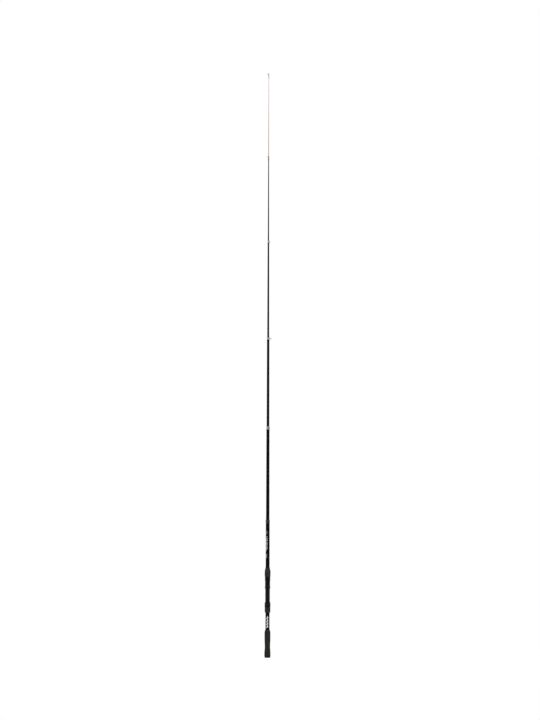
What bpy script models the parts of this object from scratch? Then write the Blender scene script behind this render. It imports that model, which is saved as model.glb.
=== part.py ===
"""A six-section telescopic spinning rod, drawn out and standing on its butt.

Metres. +Z runs from the butt to the tip along the rod's axis, and the reel and the
first guide face -Y. Each tube slides in the one below it and is held by a taper.
"""

import math
from dataclasses import dataclass

import bmesh
import bpy
from mathutils import Vector

MM = 0.001

# Clearances
GLUE_GAP = 0.15 * MM  # round a piece that is glued on or in another
SEAT_GAP = 0.3 * MM  # between two faces that meet
FERRULE_GAP = 0.15 * MM  # round a section in the mouth of the one below
RUNNING_GAP = 0.3 * MM  # round a piece of the handle that slides or turns

# Round pieces: straight faces in a full turn
HANDLE_STEPS = 28
BLANK_STEPS = 28
GUIDE_STEPS = 20

# Butt end
CAP_HEIGHT = 8.0 * MM
CAP_RADIUS = 13.7 * MM
CAP_ROUND = 3.0 * MM
CAP_FLUTES = 16
CAP_FLUTE_RADIUS = 1.6 * MM
CAP_FLUTE_DEPTH = 0.6 * MM
PLUG_RADIUS = 6.2 * MM
PLUG_LENGTH = 14.0 * MM
PLUG_BORE = 4.2 * MM
PLUG_FLOOR = 3.0 * MM  # the plug's hollow starts this far above the cap's top
CUSHION_THICKNESS = 5.0 * MM
BUSH_LENGTH = 17.0 * MM

# Grips
REAR_GRIP_LENGTH = 122.0 * MM
REAR_GRIP_BUTT_RADIUS = 14.3 * MM
REAR_GRIP_BUTT_BAND = 7.0 * MM
REAR_GRIP_WAIST_RADIUS = 12.4 * MM
REAR_GRIP_WAIST_HEIGHT = 46.0 * MM
REAR_GRIP_SWELL_RADIUS = 13.6 * MM
REAR_GRIP_SWELL_LENGTH = 30.0 * MM
REAR_GRIP_TAPER = 12.0 * MM
LOWER_BLANK_LENGTH = 77.0 * MM
END_GRIP_LENGTH = 26.0 * MM
END_GRIP_RADIUS = 13.1 * MM
END_GRIP_TAPER = 7.0 * MM
FOREGRIP_LENGTH = 42.6 * MM
FOREGRIP_RADIUS = 13.5 * MM
FOREGRIP_TAPER = 20.0 * MM
GRIP_EDGE = 1.0 * MM  # how thick the foam is where it runs out on the blank
GRIP_CHAMFER = 0.8 * MM

# Reel seat
FIXED_HOOD_LENGTH = 27.0 * MM
FIXED_HOOD_RADIUS = 13.6 * MM
FIXED_HOOD_FLARE = 8.0 * MM
BED_LENGTH = 58.5 * MM
BARREL_WALL = 0.95 * MM  # at its foot
BED_DEPTH = 0.6 * MM  # how deep the flat of the bed is cut in the barrel
BED_STEP = 0.15 * MM  # how far the bed stands above the flats beyond its two ends
HOOD_LIP_LENGTH = 12.0 * MM
HOOD_LIP_HEIGHT = 0.8 * MM
HOOD_SLEEVE_LENGTH = 25.5 * MM
HOOD_WALL = 0.6 * MM
POCKET_RADIUS = 7.7 * MM
POCKET_WALL = 1.1 * MM
POCKET_HEIGHT = 5.2 * MM  # from the bed's flat to the crown of the pocket
POCKET_DEPTH = 9.0 * MM
POCKET_DOME = 5.0 * MM
FIXED_BULGE_NOSE = 1.6 * POCKET_DOME  # length of the rounded end of the bulge over the pocket
SLIDING_BULGE_NOSE = 2.6 * POCKET_DOME
NUT_LENGTH = 18.4 * MM
NUT_WALL = 1.3 * MM
NUT_RIM = 2.6 * MM
NUT_FLUTES = 30
NUT_FLUTE_RADIUS = 0.95 * MM
NUT_FLUTE_DEPTH = 0.5 * MM
HARD_CHAMFER = 0.4 * MM
CUT_PAST = 2.0 * MM  # how far a cutter runs past the face that it opens

# Metal end collars, and the thread wraps below them
COLLAR_WALL = 0.5 * MM
COLLAR_LIP = 0.6 * MM  # turns in over the end of the blank
COLLAR_BEAD = 0.2 * MM
BEAD_HEIGHT = 1.4 * MM
BUTT_COLLAR_HEIGHT = 16.0 * MM
WRAP_THICKNESS = 0.45 * MM
WRAP_STRAIGHT = 0.75  # share of a wrap's height above its tapered foot

# Guides
PLATE_THICKNESS = 1.1 * MM
PLATE_INNER_END = 0.8  # where a plate starts, as a share of its collar's radius
PLATE_BITE = 0.3 * MM  # how far the plate and the legs run into what they are brazed to
INSERT_LIP = 0.68  # half the height of a ceramic ring, as a share of its rim's
INSERT_CROWN = 0.75  # rounding of its bore, as a share of its wall
INSERT_SHOULDER = 0.35  # rounding of its outer edges, as a share of its wall
LEG_TURN_ON_COLLAR = 34.0  # degrees from the guide's middle
LEG_TURN_ON_RING = 105.0
LEG_POINTS = 6
LEG_SIDES = 6
LEG_BEND = (0.2, 0.4, 0.7)  # share of the way from ring to collar that the bend has along X, Y and Z
TIP_TUBE_RADIUS = 1.8 * MM
TIP_TUBE_CROWN = 0.6  # radius of the top of its dome, as a share of its own
TIP_TUBE_LENGTH = 23.0 * MM
TIP_TUBE_BLIND = 9.0 * MM  # the solid end of the tube above the blank
TIP_RING_TILT = 18.0  # degrees, the guide side lower
TIP_RING_DROP = 1.6 * MM  # the ring's centre below the top of the tube
TIP_LEG_DROP = 11.0 * MM  # the legs leave the tube this far below its top
TIP_TURN = -33.0  # degrees


@dataclass(frozen=True)
class Section:
    """A tapered blank. Heights are measured along the rod and radii are outer ones."""

    sight: float  # drawn out of the section below, with its own collar
    low_radius: float  # where it leaves the section below
    top_radius: float
    hidden: float = 0.0  # held in the section below
    foot_wall: float = 0.0  # none in the solid tip
    flare: float = 0.0  # how much thicker its foot is than its taper gives


@dataclass(frozen=True)
class Guide:
    """A collar guide. Its turn is in degrees from -Y towards +X."""

    ring_radius: float
    ring_height: float  # middle of the ring above the foot of the collar
    reach: float  # from the rod's axis to the middle of the ring
    rim_wall: float
    rim_height: float
    insert_wall: float
    leg_radius: float
    turn: float
    collar: float = 0.0  # none on the tip-top, nor a wrap or a plate
    wrap: float = 0.0
    plate_width: float = 0.0


SECTION_1 = Section(
    sight=630.0 * MM,
    low_radius=9.75 * MM,
    top_radius=8.95 * MM,
    foot_wall=1.3 * MM,
)

SECTION_2 = Section(
    sight=431.5 * MM,
    hidden=70.0 * MM,
    low_radius=7.95 * MM,
    top_radius=7.15 * MM,
    foot_wall=0.9 * MM,
    flare=0.1 * MM,
)

SECTION_3 = Section(
    sight=412.5 * MM,
    hidden=60.0 * MM,
    low_radius=6.3 * MM,
    top_radius=5.6 * MM,
    foot_wall=0.9 * MM,
    flare=0.1 * MM,
)

SECTION_4 = Section(
    sight=448.0 * MM,
    hidden=55.0 * MM,
    low_radius=4.5 * MM,
    top_radius=3.5 * MM,
    foot_wall=0.8 * MM,
    flare=0.1 * MM,
)

SECTION_5 = Section(
    sight=389.0 * MM,
    hidden=50.0 * MM,
    low_radius=2.95 * MM,
    top_radius=2.0 * MM,
    foot_wall=0.7 * MM,
    flare=0.1 * MM,
)

SECTION_6 = Section(
    sight=371.3 * MM,
    hidden=40.0 * MM,
    low_radius=1.5 * MM,
    top_radius=0.75 * MM,
    flare=0.1 * MM,
)

SECTIONS = {1: SECTION_1, 2: SECTION_2, 3: SECTION_3, 4: SECTION_4, 5: SECTION_5, 6: SECTION_6}

GUIDE_2 = Guide(
    collar=13.5 * MM,
    wrap=8.0 * MM,
    ring_radius=8.0 * MM,
    ring_height=4.6 * MM,
    reach=19.0 * MM,
    rim_wall=0.8 * MM,
    rim_height=2.4 * MM,
    insert_wall=1.5 * MM,
    leg_radius=0.75 * MM,
    plate_width=6.0 * MM,
    turn=6.0,
)

GUIDE_3 = Guide(
    collar=12.0 * MM,
    wrap=7.0 * MM,
    ring_radius=6.5 * MM,
    ring_height=4.0 * MM,
    reach=14.5 * MM,
    rim_wall=0.7 * MM,
    rim_height=2.1 * MM,
    insert_wall=1.2 * MM,
    leg_radius=0.65 * MM,
    plate_width=5.0 * MM,
    turn=46.0,
)

GUIDE_4 = Guide(
    collar=12.0 * MM,
    wrap=6.0 * MM,
    ring_radius=5.1 * MM,
    ring_height=3.1 * MM,
    reach=10.8 * MM,
    rim_wall=0.6 * MM,
    rim_height=1.9 * MM,
    insert_wall=1.0 * MM,
    leg_radius=0.55 * MM,
    plate_width=4.0 * MM,
    turn=24.0,
)

GUIDE_5 = Guide(
    collar=13.0 * MM,
    wrap=5.0 * MM,
    ring_radius=4.1 * MM,
    ring_height=7.6 * MM,
    reach=8.1 * MM,
    rim_wall=0.55 * MM,
    rim_height=1.7 * MM,
    insert_wall=0.85 * MM,
    leg_radius=0.5 * MM,
    plate_width=3.2 * MM,
    turn=-31.0,
)

GUIDES = {2: GUIDE_2, 3: GUIDE_3, 4: GUIDE_4, 5: GUIDE_5}

TIP_RING = Guide(
    ring_radius=4.0 * MM,
    ring_height=TIP_TUBE_LENGTH - TIP_RING_DROP,
    reach=5.4 * MM,
    rim_wall=0.55 * MM,
    rim_height=1.7 * MM,
    insert_wall=0.9 * MM,
    leg_radius=0.45 * MM,
    turn=TIP_TURN,
)

# Colours as seen (sRGB, 0 to 255), metallic and roughness
FINISHES = {
    "foam": ((46, 47, 43), 0.0, 0.92),
    "light_foam": ((54, 55, 51), 0.0, 0.9),
    "black_lacquer": ((19, 19, 20), 0.0, 0.12),
    "orange_lacquer": ((158, 84, 24), 0.0, 0.2),
    "seat_plastic": ((21, 21, 22), 0.0, 0.38),
    "hood_metal": ((27, 27, 29), 0.6, 0.32),
    "dark_steel": ((62, 62, 65), 1.0, 0.28),
    "bright_steel": ((172, 172, 170), 1.0, 0.24),
    "ceramic": ((17, 17, 18), 0.0, 0.14),
    "thread_wrap": ((13, 13, 14), 0.0, 0.16),
    "rubber": ((24, 24, 24), 0.0, 0.8),
    "nylon": ((34, 34, 35), 0.0, 0.45),
}

# Heights along the handle
REAR_GRIP_TOP = CAP_HEIGHT + REAR_GRIP_LENGTH
END_GRIP_FOOT = REAR_GRIP_TOP + LOWER_BLANK_LENGTH
SEAT_FOOT = END_GRIP_FOOT + END_GRIP_LENGTH
BED_FOOT = SEAT_FOOT + FIXED_HOOD_LENGTH
HOOD_FOOT = BED_FOOT + BED_LENGTH
HOOD_LENGTH = HOOD_LIP_LENGTH + HOOD_SLEEVE_LENGTH
NUT_FOOT = HOOD_FOOT + HOOD_LENGTH
SEAT_TOP = NUT_FOOT + NUT_LENGTH

# Radii of the reel seat, from the blank outwards
BARREL_RADIUS = SECTIONS[1].low_radius + GLUE_GAP + BARREL_WALL
BED_FLAT = BARREL_RADIUS - BED_DEPTH
SLEEVE_BORE = BARREL_RADIUS + RUNNING_GAP
SLEEVE_RADIUS = SLEEVE_BORE + HOOD_WALL
LIP_RADIUS = SLEEVE_RADIUS + HOOD_LIP_HEIGHT
NUT_RADIUS = SLEEVE_BORE + NUT_WALL
POCKET_AXIS = BED_FLAT + POCKET_HEIGHT - POCKET_RADIUS
BULGE_RADIUS = POCKET_RADIUS + POCKET_WALL


def section(number):
    """Section of the rod by its number, 1 at the butt."""
    return SECTIONS[number]


def section_top(number):
    """Height of a section's upper end, where the next one leaves it."""
    return CAP_HEIGHT + sum(SECTIONS[below].sight for below in range(1, number + 1))


def section_foot(number):
    """Height of a section's lower end. The first one stands on the butt cap."""
    if number == 1:
        return CAP_HEIGHT + SEAT_GAP
    return section_top(number - 1) - section(number).hidden


def taper_of(number):
    """How much a section's radius shrinks for each metre of height in sight."""
    part = section(number)
    return (part.low_radius - part.top_radius) / part.sight


def foot_radius(number):
    """Outer radius of a section's lower end, a little thicker than its taper gives."""
    part = section(number)
    return part.low_radius + taper_of(number) * part.hidden + part.flare


def butt_radius_at(height):
    """Outer radius of the first section at a height above the butt end."""
    return section(1).low_radius - taper_of(1) * (height - CAP_HEIGHT)


def mouth_bore(number):
    """Bore of a section's upper end, which fits the section above it."""
    return section(number + 1).low_radius + FERRULE_GAP


def new_collection(name):
    """An empty collection linked to the scene."""
    collection = bpy.data.collections.new(name)
    bpy.context.scene.collection.children.link(collection)
    return collection


def clear_scene():
    """Remove whatever the scene holds."""
    for item in list(bpy.data.objects):
        bpy.data.objects.remove(item, do_unlink=True)


def linear(level):
    """Linear light of an sRGB level from 0 to 255."""
    share = level / 255
    return share / 12.92 if share <= 0.04045 else ((share + 0.055) / 1.055) ** 2.4


def new_material(name, finish):
    """A Principled material with the colour, metallic value and roughness of a finish."""
    colour, metallic, roughness = FINISHES[finish]
    material = bpy.data.materials.new(name)
    material.use_nodes = True
    shader = material.node_tree.nodes["Principled BSDF"]
    shader.inputs["Base Color"].default_value = (*map(linear, colour), 1)
    shader.inputs["Metallic"].default_value = metallic
    shader.inputs["Roughness"].default_value = roughness
    material.diffuse_color = (*map(linear, colour), 1)
    return material


def shade(mesh):
    """Smooth shading that keeps the edges of steps and ends sharp."""
    mesh.shade_smooth()
    mesh.set_sharp_from_angle(angle=math.radians(38))


def baked(source):
    """Mesh of an object as its modifiers or its bevel make it, closed and shaded. The object is removed."""
    graph = bpy.context.evaluated_depsgraph_get()
    mesh = bpy.data.meshes.new_from_object(source.evaluated_get(graph))
    work = bmesh.new()
    work.from_mesh(mesh)
    bmesh.ops.remove_doubles(work, verts=work.verts, dist=0.001 * MM)
    work.to_mesh(mesh)
    work.free()
    bpy.data.objects.remove(source, do_unlink=True)
    shade(mesh)
    return mesh


def turned(outline, steps, ring=True):
    """Mesh of an outline turned about Z.

    The outline is a list of (radius, height) points that runs down its outer side. A
    ring's outline closes on itself, and a solid's starts and ends on the axis.
    """
    mesh = bpy.data.meshes.new("outline")
    count = len(outline)
    edges = [(i, i + 1) for i in range(count - 1)]
    if ring:
        edges.append((count - 1, 0))
    mesh.from_pydata([(radius, 0, height) for radius, height in outline], edges, [])
    profile = bpy.data.objects.new("outline", mesh)
    helpers.objects.link(profile)
    screw = profile.modifiers.new("Turn", "SCREW")
    screw.steps = steps
    screw.render_steps = steps
    screw.use_merge_vertices = True
    screw.merge_threshold = 0.001 * MM
    return baked(profile)


def wire(points, radius, sides):
    """Mesh of a round wire along points, with flat ends."""
    curve = bpy.data.curves.new("wire", "CURVE")
    curve.dimensions = "3D"
    curve.bevel_depth = radius
    curve.bevel_resolution = sides // 2 - 2
    curve.use_fill_caps = True
    spline = curve.splines.new("POLY")
    spline.points.add(len(points) - 1)
    for target, point in zip(spline.points, points, strict=True):
        target.co = (*point, 1)
    wire_object = bpy.data.objects.new("wire", curve)
    helpers.objects.link(wire_object)
    return baked(wire_object)


def block(low, high):
    """Mesh of a box between two corners."""
    work = bmesh.new()
    bmesh.ops.create_cube(work, size=1)
    for vert in work.verts:
        for axis in range(3):
            middle = (low[axis] + high[axis]) / 2
            vert.co[axis] = middle + vert.co[axis] * (high[axis] - low[axis])
    mesh = bpy.data.meshes.new("block")
    work.to_mesh(mesh)
    work.free()
    return mesh


def rods_in_a_ring(count, ring_radius, radius, low, high, sides=8):
    """Mesh of upright rods spaced round a circle, for cutting flutes."""
    work = bmesh.new()
    for index in range(count):
        angle = 2 * math.pi * (index + 0.5) / count
        made = bmesh.ops.create_cone(
            work,
            cap_ends=True,
            segments=sides,
            radius1=radius,
            radius2=radius,
            depth=high - low,
        )
        place = (ring_radius * math.cos(angle), ring_radius * math.sin(angle), (low + high) / 2)
        bmesh.ops.translate(work, verts=made["verts"], vec=place)
    mesh = bpy.data.meshes.new("rods")
    work.to_mesh(mesh)
    work.free()
    return mesh


def carrier(name, height, parent=None, turn=0.0):
    """An empty on the rod's axis that carries the pieces of one moving group.

    The height and the turn, in degrees, are the rod's own, whatever the parent's are.
    """
    empty = bpy.data.objects.new(name, None)
    empty.empty_display_size = 20 * MM
    pieces.objects.link(empty)
    empty["height"] = height
    empty["turn"] = turn
    empty.parent = parent
    empty.location.z = height - (parent["height"] if parent else 0)
    empty.rotation_euler.z = math.radians(turn - (parent["turn"] if parent else 0))
    return empty


def piece(name, mesh, finish, parent, location=(0, 0, 0)):
    """A visible piece of the rod with its own material."""
    mesh.name = name
    mesh.materials.clear()
    mesh.materials.append(new_material(name, finish))
    made = bpy.data.objects.new(name, mesh)
    pieces.objects.link(made)
    made.parent = parent
    made.location = location
    return made


def helper(name, mesh, beside, location=(0, 0, 0), rotation=(0, 0, 0)):
    """A shape that a piece is joined with or cut by, in that piece's own space."""
    made = bpy.data.objects.new(name, mesh)
    helpers.objects.link(made)
    made.parent = beside
    made.location = location
    made.rotation_euler = rotation
    made.hide_render = True
    made.display_type = "WIRE"
    return made


def combine(target, operation, other):
    """Add a Boolean modifier that joins a piece with a helper or cuts it."""
    modifier = target.modifiers.new(other.name, "BOOLEAN")
    modifier.operation = operation
    modifier.object = other


def chamfered(inner, outer, low, high, chamfer, bore_chamfer=0.0):
    """Outline of a plain ring with chamfered outer edges."""
    outline = [
        (outer - chamfer, high),
        (outer, high - chamfer),
        (outer, low + chamfer),
        (outer - chamfer, low),
    ]
    if bore_chamfer:
        return outline + [
            (inner + bore_chamfer, low),
            (inner, low + bore_chamfer),
            (inner, high - bore_chamfer),
            (inner + bore_chamfer, high),
        ]
    return outline + [(inner, low), (inner, high)]


def eased(stations, spans):
    """Points of a smooth outline through (radius, height) stations, with level tangents there.

    Each entry of spans is the number of points in the stretch after a station.
    """
    points = []
    for start, end, steps in zip(stations[:-1], stations[1:], spans, strict=True):
        for step in range(steps):
            share = step / steps
            swing = (1 - math.cos(math.pi * share)) / 2
            radius = start[0] + (end[0] - start[0]) * swing
            points.append((radius, start[1] + (end[1] - start[1]) * share))
    return points + [stations[-1]]


def quarter(radius, middle, start, end, steps):
    """Points of an arc in a profile, from one angle to another in degrees, 0 outwards and 90 upwards."""
    angles = [math.radians(start + (end - start) * step / steps) for step in range(steps + 1)]
    return [(middle[0] + radius * math.cos(a), middle[1] + radius * math.sin(a)) for a in angles]


def build_blank(number, parent):
    """One tapered section, hollow up to the solid tip, with a straight-fitting mouth."""
    part = section(number)
    foot = section_foot(number)
    top = section_top(number) - foot
    finish = "orange_lacquer" if number == len(SECTIONS) else "black_lacquer"
    if number == len(SECTIONS):
        outline = [
            (0, top),
            (part.top_radius, top),
            (part.low_radius, part.hidden),
            (foot_radius(number), 0),
            (0, 0),
        ]
        mesh = turned(outline, BLANK_STEPS, ring=False)
        return piece(f"section_{number}_solid_tip", mesh, finish, parent)
    end = top - COLLAR_LIP - GLUE_GAP
    fitted = section_foot(number + 1) - foot
    outline = [(part.top_radius, end)]
    if number > 1:
        outline.append((part.low_radius, part.hidden))
    outline += [
        (foot_radius(number), 0),
        (foot_radius(number) - part.foot_wall, 0),
        (foot_radius(number + 1) + FERRULE_GAP, fitted),
        (mouth_bore(number), end),
    ]
    name = "section_1_butt_blank" if number == 1 else f"section_{number}_blank"
    return piece(name, turned(outline, BLANK_STEPS), finish, parent)


def collar_outline(number, height):
    """Outline of the metal collar on a section's end, beaded at both ends and lipped over the blank."""
    bore = section(number).top_radius + GLUE_GAP + taper_of(number) * height
    outer = bore + COLLAR_WALL
    return [
        (outer, height),
        (outer + COLLAR_BEAD, height - BEAD_HEIGHT / 2),
        (outer, height - BEAD_HEIGHT),
        (outer, BEAD_HEIGHT),
        (outer + COLLAR_BEAD, BEAD_HEIGHT / 2),
        (outer, 0),
        (bore, 0),
        (bore, height - COLLAR_LIP),
        (mouth_bore(number), height - COLLAR_LIP),
        (mouth_bore(number), height),
    ]


def build_butt_end(handle):
    """Threaded bush in the blank, and the screw cap with its cushion, on their own carriers."""
    butt_bore = foot_radius(1) - section(1).foot_wall
    bush_foot = CAP_HEIGHT + SEAT_GAP
    bush = turned(
        chamfered(PLUG_RADIUS + RUNNING_GAP, butt_bore - 2 * GLUE_GAP, 0, BUSH_LENGTH, HARD_CHAMFER),
        HANDLE_STEPS,
    )
    piece("butt_bush", bush, "nylon", handle, (0, 0, bush_foot))

    cushion_foot = CAP_HEIGHT + PLUG_LENGTH + SEAT_GAP
    cushion_carrier = carrier("butt_cushion_body", cushion_foot, handle)
    cushion = turned(
        chamfered(PLUG_BORE, PLUG_RADIUS - HARD_CHAMFER, 0, CUSHION_THICKNESS, HARD_CHAMFER),
        GUIDE_STEPS,
    )
    piece("butt_cushion", cushion, "rubber", cushion_carrier)

    cap_carrier = carrier("butt_cap_body", 0, cushion_carrier)
    plug_top = CAP_HEIGHT + PLUG_LENGTH
    outline = [
        (0, CAP_HEIGHT + PLUG_FLOOR),
        (PLUG_BORE, CAP_HEIGHT + PLUG_FLOOR),
        (PLUG_BORE, plug_top),
        (PLUG_RADIUS - HARD_CHAMFER, plug_top),
        (PLUG_RADIUS, plug_top - HARD_CHAMFER),
        (PLUG_RADIUS, CAP_HEIGHT),
        (CAP_RADIUS - HARD_CHAMFER, CAP_HEIGHT),
        (CAP_RADIUS, CAP_HEIGHT - HARD_CHAMFER),
        *quarter(CAP_ROUND, (CAP_RADIUS - CAP_ROUND, CAP_ROUND), 0, -90, 4),
        (0, 0),
    ]
    cap = piece("butt_cap", turned(outline, HANDLE_STEPS, ring=False), "rubber", cap_carrier)
    flutes = rods_in_a_ring(
        CAP_FLUTES,
        CAP_RADIUS + CAP_FLUTE_RADIUS - CAP_FLUTE_DEPTH,
        CAP_FLUTE_RADIUS,
        CAP_ROUND,
        CAP_HEIGHT + SEAT_GAP,
    )
    combine(cap, "DIFFERENCE", helper("cap_flutes", flutes, cap))


def build_grip(name, foot, outline, finish, handle):
    """A foam grip whose bore follows the butt blank. The outline's heights are above its foot."""
    top = outline[0][1]
    bore = [
        (butt_radius_at(foot) + GLUE_GAP, 0),
        (butt_radius_at(foot + top) + GLUE_GAP, top),
    ]
    piece(name, turned(outline + bore, HANDLE_STEPS), finish, handle, (0, 0, foot))


def build_grips(handle):
    """Rear grip, the short ring below the reel seat, and the foregrip."""
    foot = CAP_HEIGHT + SEAT_GAP
    length = REAR_GRIP_TOP - foot
    swell_top = length - REAR_GRIP_TAPER
    stations = [
        (butt_radius_at(REAR_GRIP_TOP) + GLUE_GAP + GRIP_EDGE, length),
        (REAR_GRIP_SWELL_RADIUS, swell_top),
        (REAR_GRIP_SWELL_RADIUS, swell_top - REAR_GRIP_SWELL_LENGTH),
        (REAR_GRIP_WAIST_RADIUS, REAR_GRIP_WAIST_HEIGHT),
        (REAR_GRIP_BUTT_RADIUS, REAR_GRIP_BUTT_BAND),
    ]
    outline = eased(stations, [4, 1, 4, 5])
    outline += [(REAR_GRIP_BUTT_RADIUS, GRIP_CHAMFER), (REAR_GRIP_BUTT_RADIUS - GRIP_CHAMFER, 0)]
    build_grip("rear_grip", foot, outline, "foam", handle)

    length = END_GRIP_LENGTH
    stations = [
        (END_GRIP_RADIUS, END_GRIP_TAPER),
        (butt_radius_at(END_GRIP_FOOT) + GLUE_GAP + GRIP_EDGE, 0),
    ]
    outline = [(END_GRIP_RADIUS - GRIP_CHAMFER, length), (END_GRIP_RADIUS, length - GRIP_CHAMFER)]
    outline += eased(stations, [3])
    build_grip("seat_end_grip", END_GRIP_FOOT, outline, "foam", handle)

    foot = SEAT_TOP + SEAT_GAP
    length = FOREGRIP_LENGTH
    stations = [
        (butt_radius_at(foot + length) + GLUE_GAP + GRIP_EDGE, length),
        (FOREGRIP_RADIUS, length - FOREGRIP_TAPER),
    ]
    outline = eased(stations, [6])
    outline += [(FOREGRIP_RADIUS, GRIP_CHAMFER), (FOREGRIP_RADIUS - GRIP_CHAMFER, 0)]
    build_grip("foregrip", foot, outline, "light_foam", handle)


def bullet_outline(radius, straight, dome, lead=0.0):
    """Outline of a round-nosed solid that stands on its flat end. Lead lengthens it below that end."""
    nose = [
        (radius * math.sin(math.radians(angle)), straight + dome * math.cos(math.radians(angle)))
        for angle in (0, 22, 45, 67, 90)
    ]
    return nose + [(radius, -lead), (0, -lead)]


def build_fixed_hood(handle):
    """The hood glued on the foot of the barrel, with its pocket open towards the bed."""
    length = BED_FOOT - SEAT_FOOT - SEAT_GAP
    bore = BARREL_RADIUS + GLUE_GAP
    brim = bore + POCKET_WALL / 2
    stations = [(brim, length - HARD_CHAMFER), (FIXED_HOOD_RADIUS, length - FIXED_HOOD_FLARE)]
    outline = [(0, length - HARD_CHAMFER), *eased(stations, [4])]
    outline += [(FIXED_HOOD_RADIUS, HARD_CHAMFER), (FIXED_HOOD_RADIUS - HARD_CHAMFER, 0), (0, 0)]
    hood = piece(
        "fixed_hood",
        turned(outline, HANDLE_STEPS, ring=False),
        "hood_metal",
        handle,
        (0, 0, SEAT_FOOT + SEAT_GAP),
    )
    mouth = (0, -POCKET_AXIS, length)
    upside_down = (math.pi, 0, 0)
    wall = turned(bullet_outline(BULGE_RADIUS, POCKET_DEPTH, FIXED_BULGE_NOSE), GUIDE_STEPS, ring=False)
    combine(hood, "UNION", helper("fixed_hood_bulge", wall, hood, mouth, upside_down))
    bore_outline = bullet_outline(bore, length + CUT_PAST, MM, lead=CUT_PAST)
    tube_bore = turned(bore_outline, HANDLE_STEPS, ring=False)
    combine(hood, "DIFFERENCE", helper("fixed_hood_bore", tube_bore, hood))
    pocket = turned(
        bullet_outline(POCKET_RADIUS, POCKET_DEPTH, POCKET_DOME, lead=CUT_PAST),
        GUIDE_STEPS,
        ring=False,
    )
    combine(hood, "DIFFERENCE", helper("fixed_hood_pocket", pocket, hood, mouth, upside_down))


def build_barrel(handle):
    """The seat's tube on the blank, flattened in front from end to end to key the hood.

    Between the hoods the flat is the bed, a little proud of the rest.
    """
    foot = SEAT_FOOT + SEAT_GAP
    length = SEAT_TOP - foot
    low_bore = butt_radius_at(foot) + GLUE_GAP
    high_bore = butt_radius_at(SEAT_TOP) + GLUE_GAP
    outline = [
        (BARREL_RADIUS - HARD_CHAMFER, length),
        (BARREL_RADIUS, length - HARD_CHAMFER),
        (BARREL_RADIUS, 0),
        (low_bore, 0),
        (high_bore, length),
    ]
    barrel = piece(
        "reel_seat_barrel", turned(outline, HANDLE_STEPS), "seat_plastic", handle, (0, 0, foot)
    )
    cuts = (
        ("bed", BED_FLAT, BED_FOOT - foot, HOOD_FOOT - foot),
        ("flat_below_bed", BED_FLAT - BED_STEP, -CUT_PAST, BED_FOOT + SEAT_GAP - foot),
        ("flat_above_bed", BED_FLAT - BED_STEP, HOOD_FOOT - SEAT_GAP - foot, length + CUT_PAST),
    )
    for name, flat, low, high in cuts:
        shaving = block((-BARREL_RADIUS, -BARREL_RADIUS - CUT_PAST, low), (BARREL_RADIUS, -flat, high))
        combine(barrel, "DIFFERENCE", helper(name, shaving, barrel))


def build_sliding_hood(handle):
    """The hood that slides on the barrel, kept from turning by the barrel's flat. Returns its carrier."""
    hood_carrier = carrier("sliding_hood_body", HOOD_FOOT, handle)
    outline = [
        (0, HOOD_LENGTH - SEAT_GAP),
        (SLEEVE_RADIUS - HARD_CHAMFER / 2, HOOD_LENGTH - SEAT_GAP),
        (SLEEVE_RADIUS, HOOD_LENGTH - SEAT_GAP - HARD_CHAMFER / 2),
        (SLEEVE_RADIUS, HOOD_LIP_LENGTH + HARD_CHAMFER),
        (LIP_RADIUS, HOOD_LIP_LENGTH - HARD_CHAMFER),
        (LIP_RADIUS, 2 * HARD_CHAMFER),
        (LIP_RADIUS - HARD_CHAMFER, HARD_CHAMFER),
        (0, HARD_CHAMFER),
    ]
    hood = piece("sliding_hood", turned(outline, HANDLE_STEPS, ring=False), "hood_metal", hood_carrier)
    mouth = (0, -POCKET_AXIS, 0)
    wall = turned(bullet_outline(BULGE_RADIUS, POCKET_DEPTH, SLIDING_BULGE_NOSE), GUIDE_STEPS, ring=False)
    combine(hood, "UNION", helper("sliding_hood_bulge", wall, hood, mouth))
    bore_outline = bullet_outline(SLEEVE_BORE, HOOD_LENGTH + CUT_PAST, MM, lead=CUT_PAST)
    bore = helper("sliding_hood_bore", turned(bore_outline, HANDLE_STEPS, ring=False), hood)
    key = block(
        (-SLEEVE_BORE, -SLEEVE_BORE - CUT_PAST, -2 * CUT_PAST),
        (SLEEVE_BORE, -BED_FLAT - RUNNING_GAP, HOOD_LENGTH + 3 * CUT_PAST),
    )
    combine(bore, "DIFFERENCE", helper("sliding_hood_key", key, bore))
    combine(hood, "DIFFERENCE", bore)
    pocket = turned(
        bullet_outline(POCKET_RADIUS, POCKET_DEPTH, POCKET_DOME, lead=CUT_PAST),
        GUIDE_STEPS,
        ring=False,
    )
    combine(hood, "DIFFERENCE", helper("sliding_hood_pocket", pocket, hood, mouth))
    return hood_carrier


def build_lock_nut(hood_carrier):
    """The fluted nut that runs on the barrel and drives the sliding hood."""
    nut_carrier = carrier("lock_nut_body", NUT_FOOT, hood_carrier)
    length = NUT_LENGTH - SEAT_GAP
    mesh = turned(
        chamfered(SLEEVE_BORE, NUT_RADIUS, 0, length, HARD_CHAMFER, HARD_CHAMFER),
        NUT_FLUTES,
    )
    nut = piece("lock_nut", mesh, "hood_metal", nut_carrier)
    flutes = rods_in_a_ring(
        NUT_FLUTES,
        NUT_RADIUS + NUT_FLUTE_RADIUS - NUT_FLUTE_DEPTH,
        NUT_FLUTE_RADIUS,
        NUT_RIM,
        length - NUT_RIM,
    )
    combine(nut, "DIFFERENCE", helper("nut_flutes", flutes, nut))


def on_circle(radius, degrees, middle, height):
    """A point round a circle whose middle lies on -Y, counted from -Y towards +X."""
    angle = math.radians(degrees)
    return Vector((radius * math.sin(angle), -middle - radius * math.cos(angle), height))


def curved(start, bend, end, count):
    """Points of a parabola from start to end that leaves them towards bend."""
    points = []
    for index in range(count):
        share = index / (count - 1)
        points.append(start.lerp(bend, share).lerp(bend.lerp(end, share), share))
    return points


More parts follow.
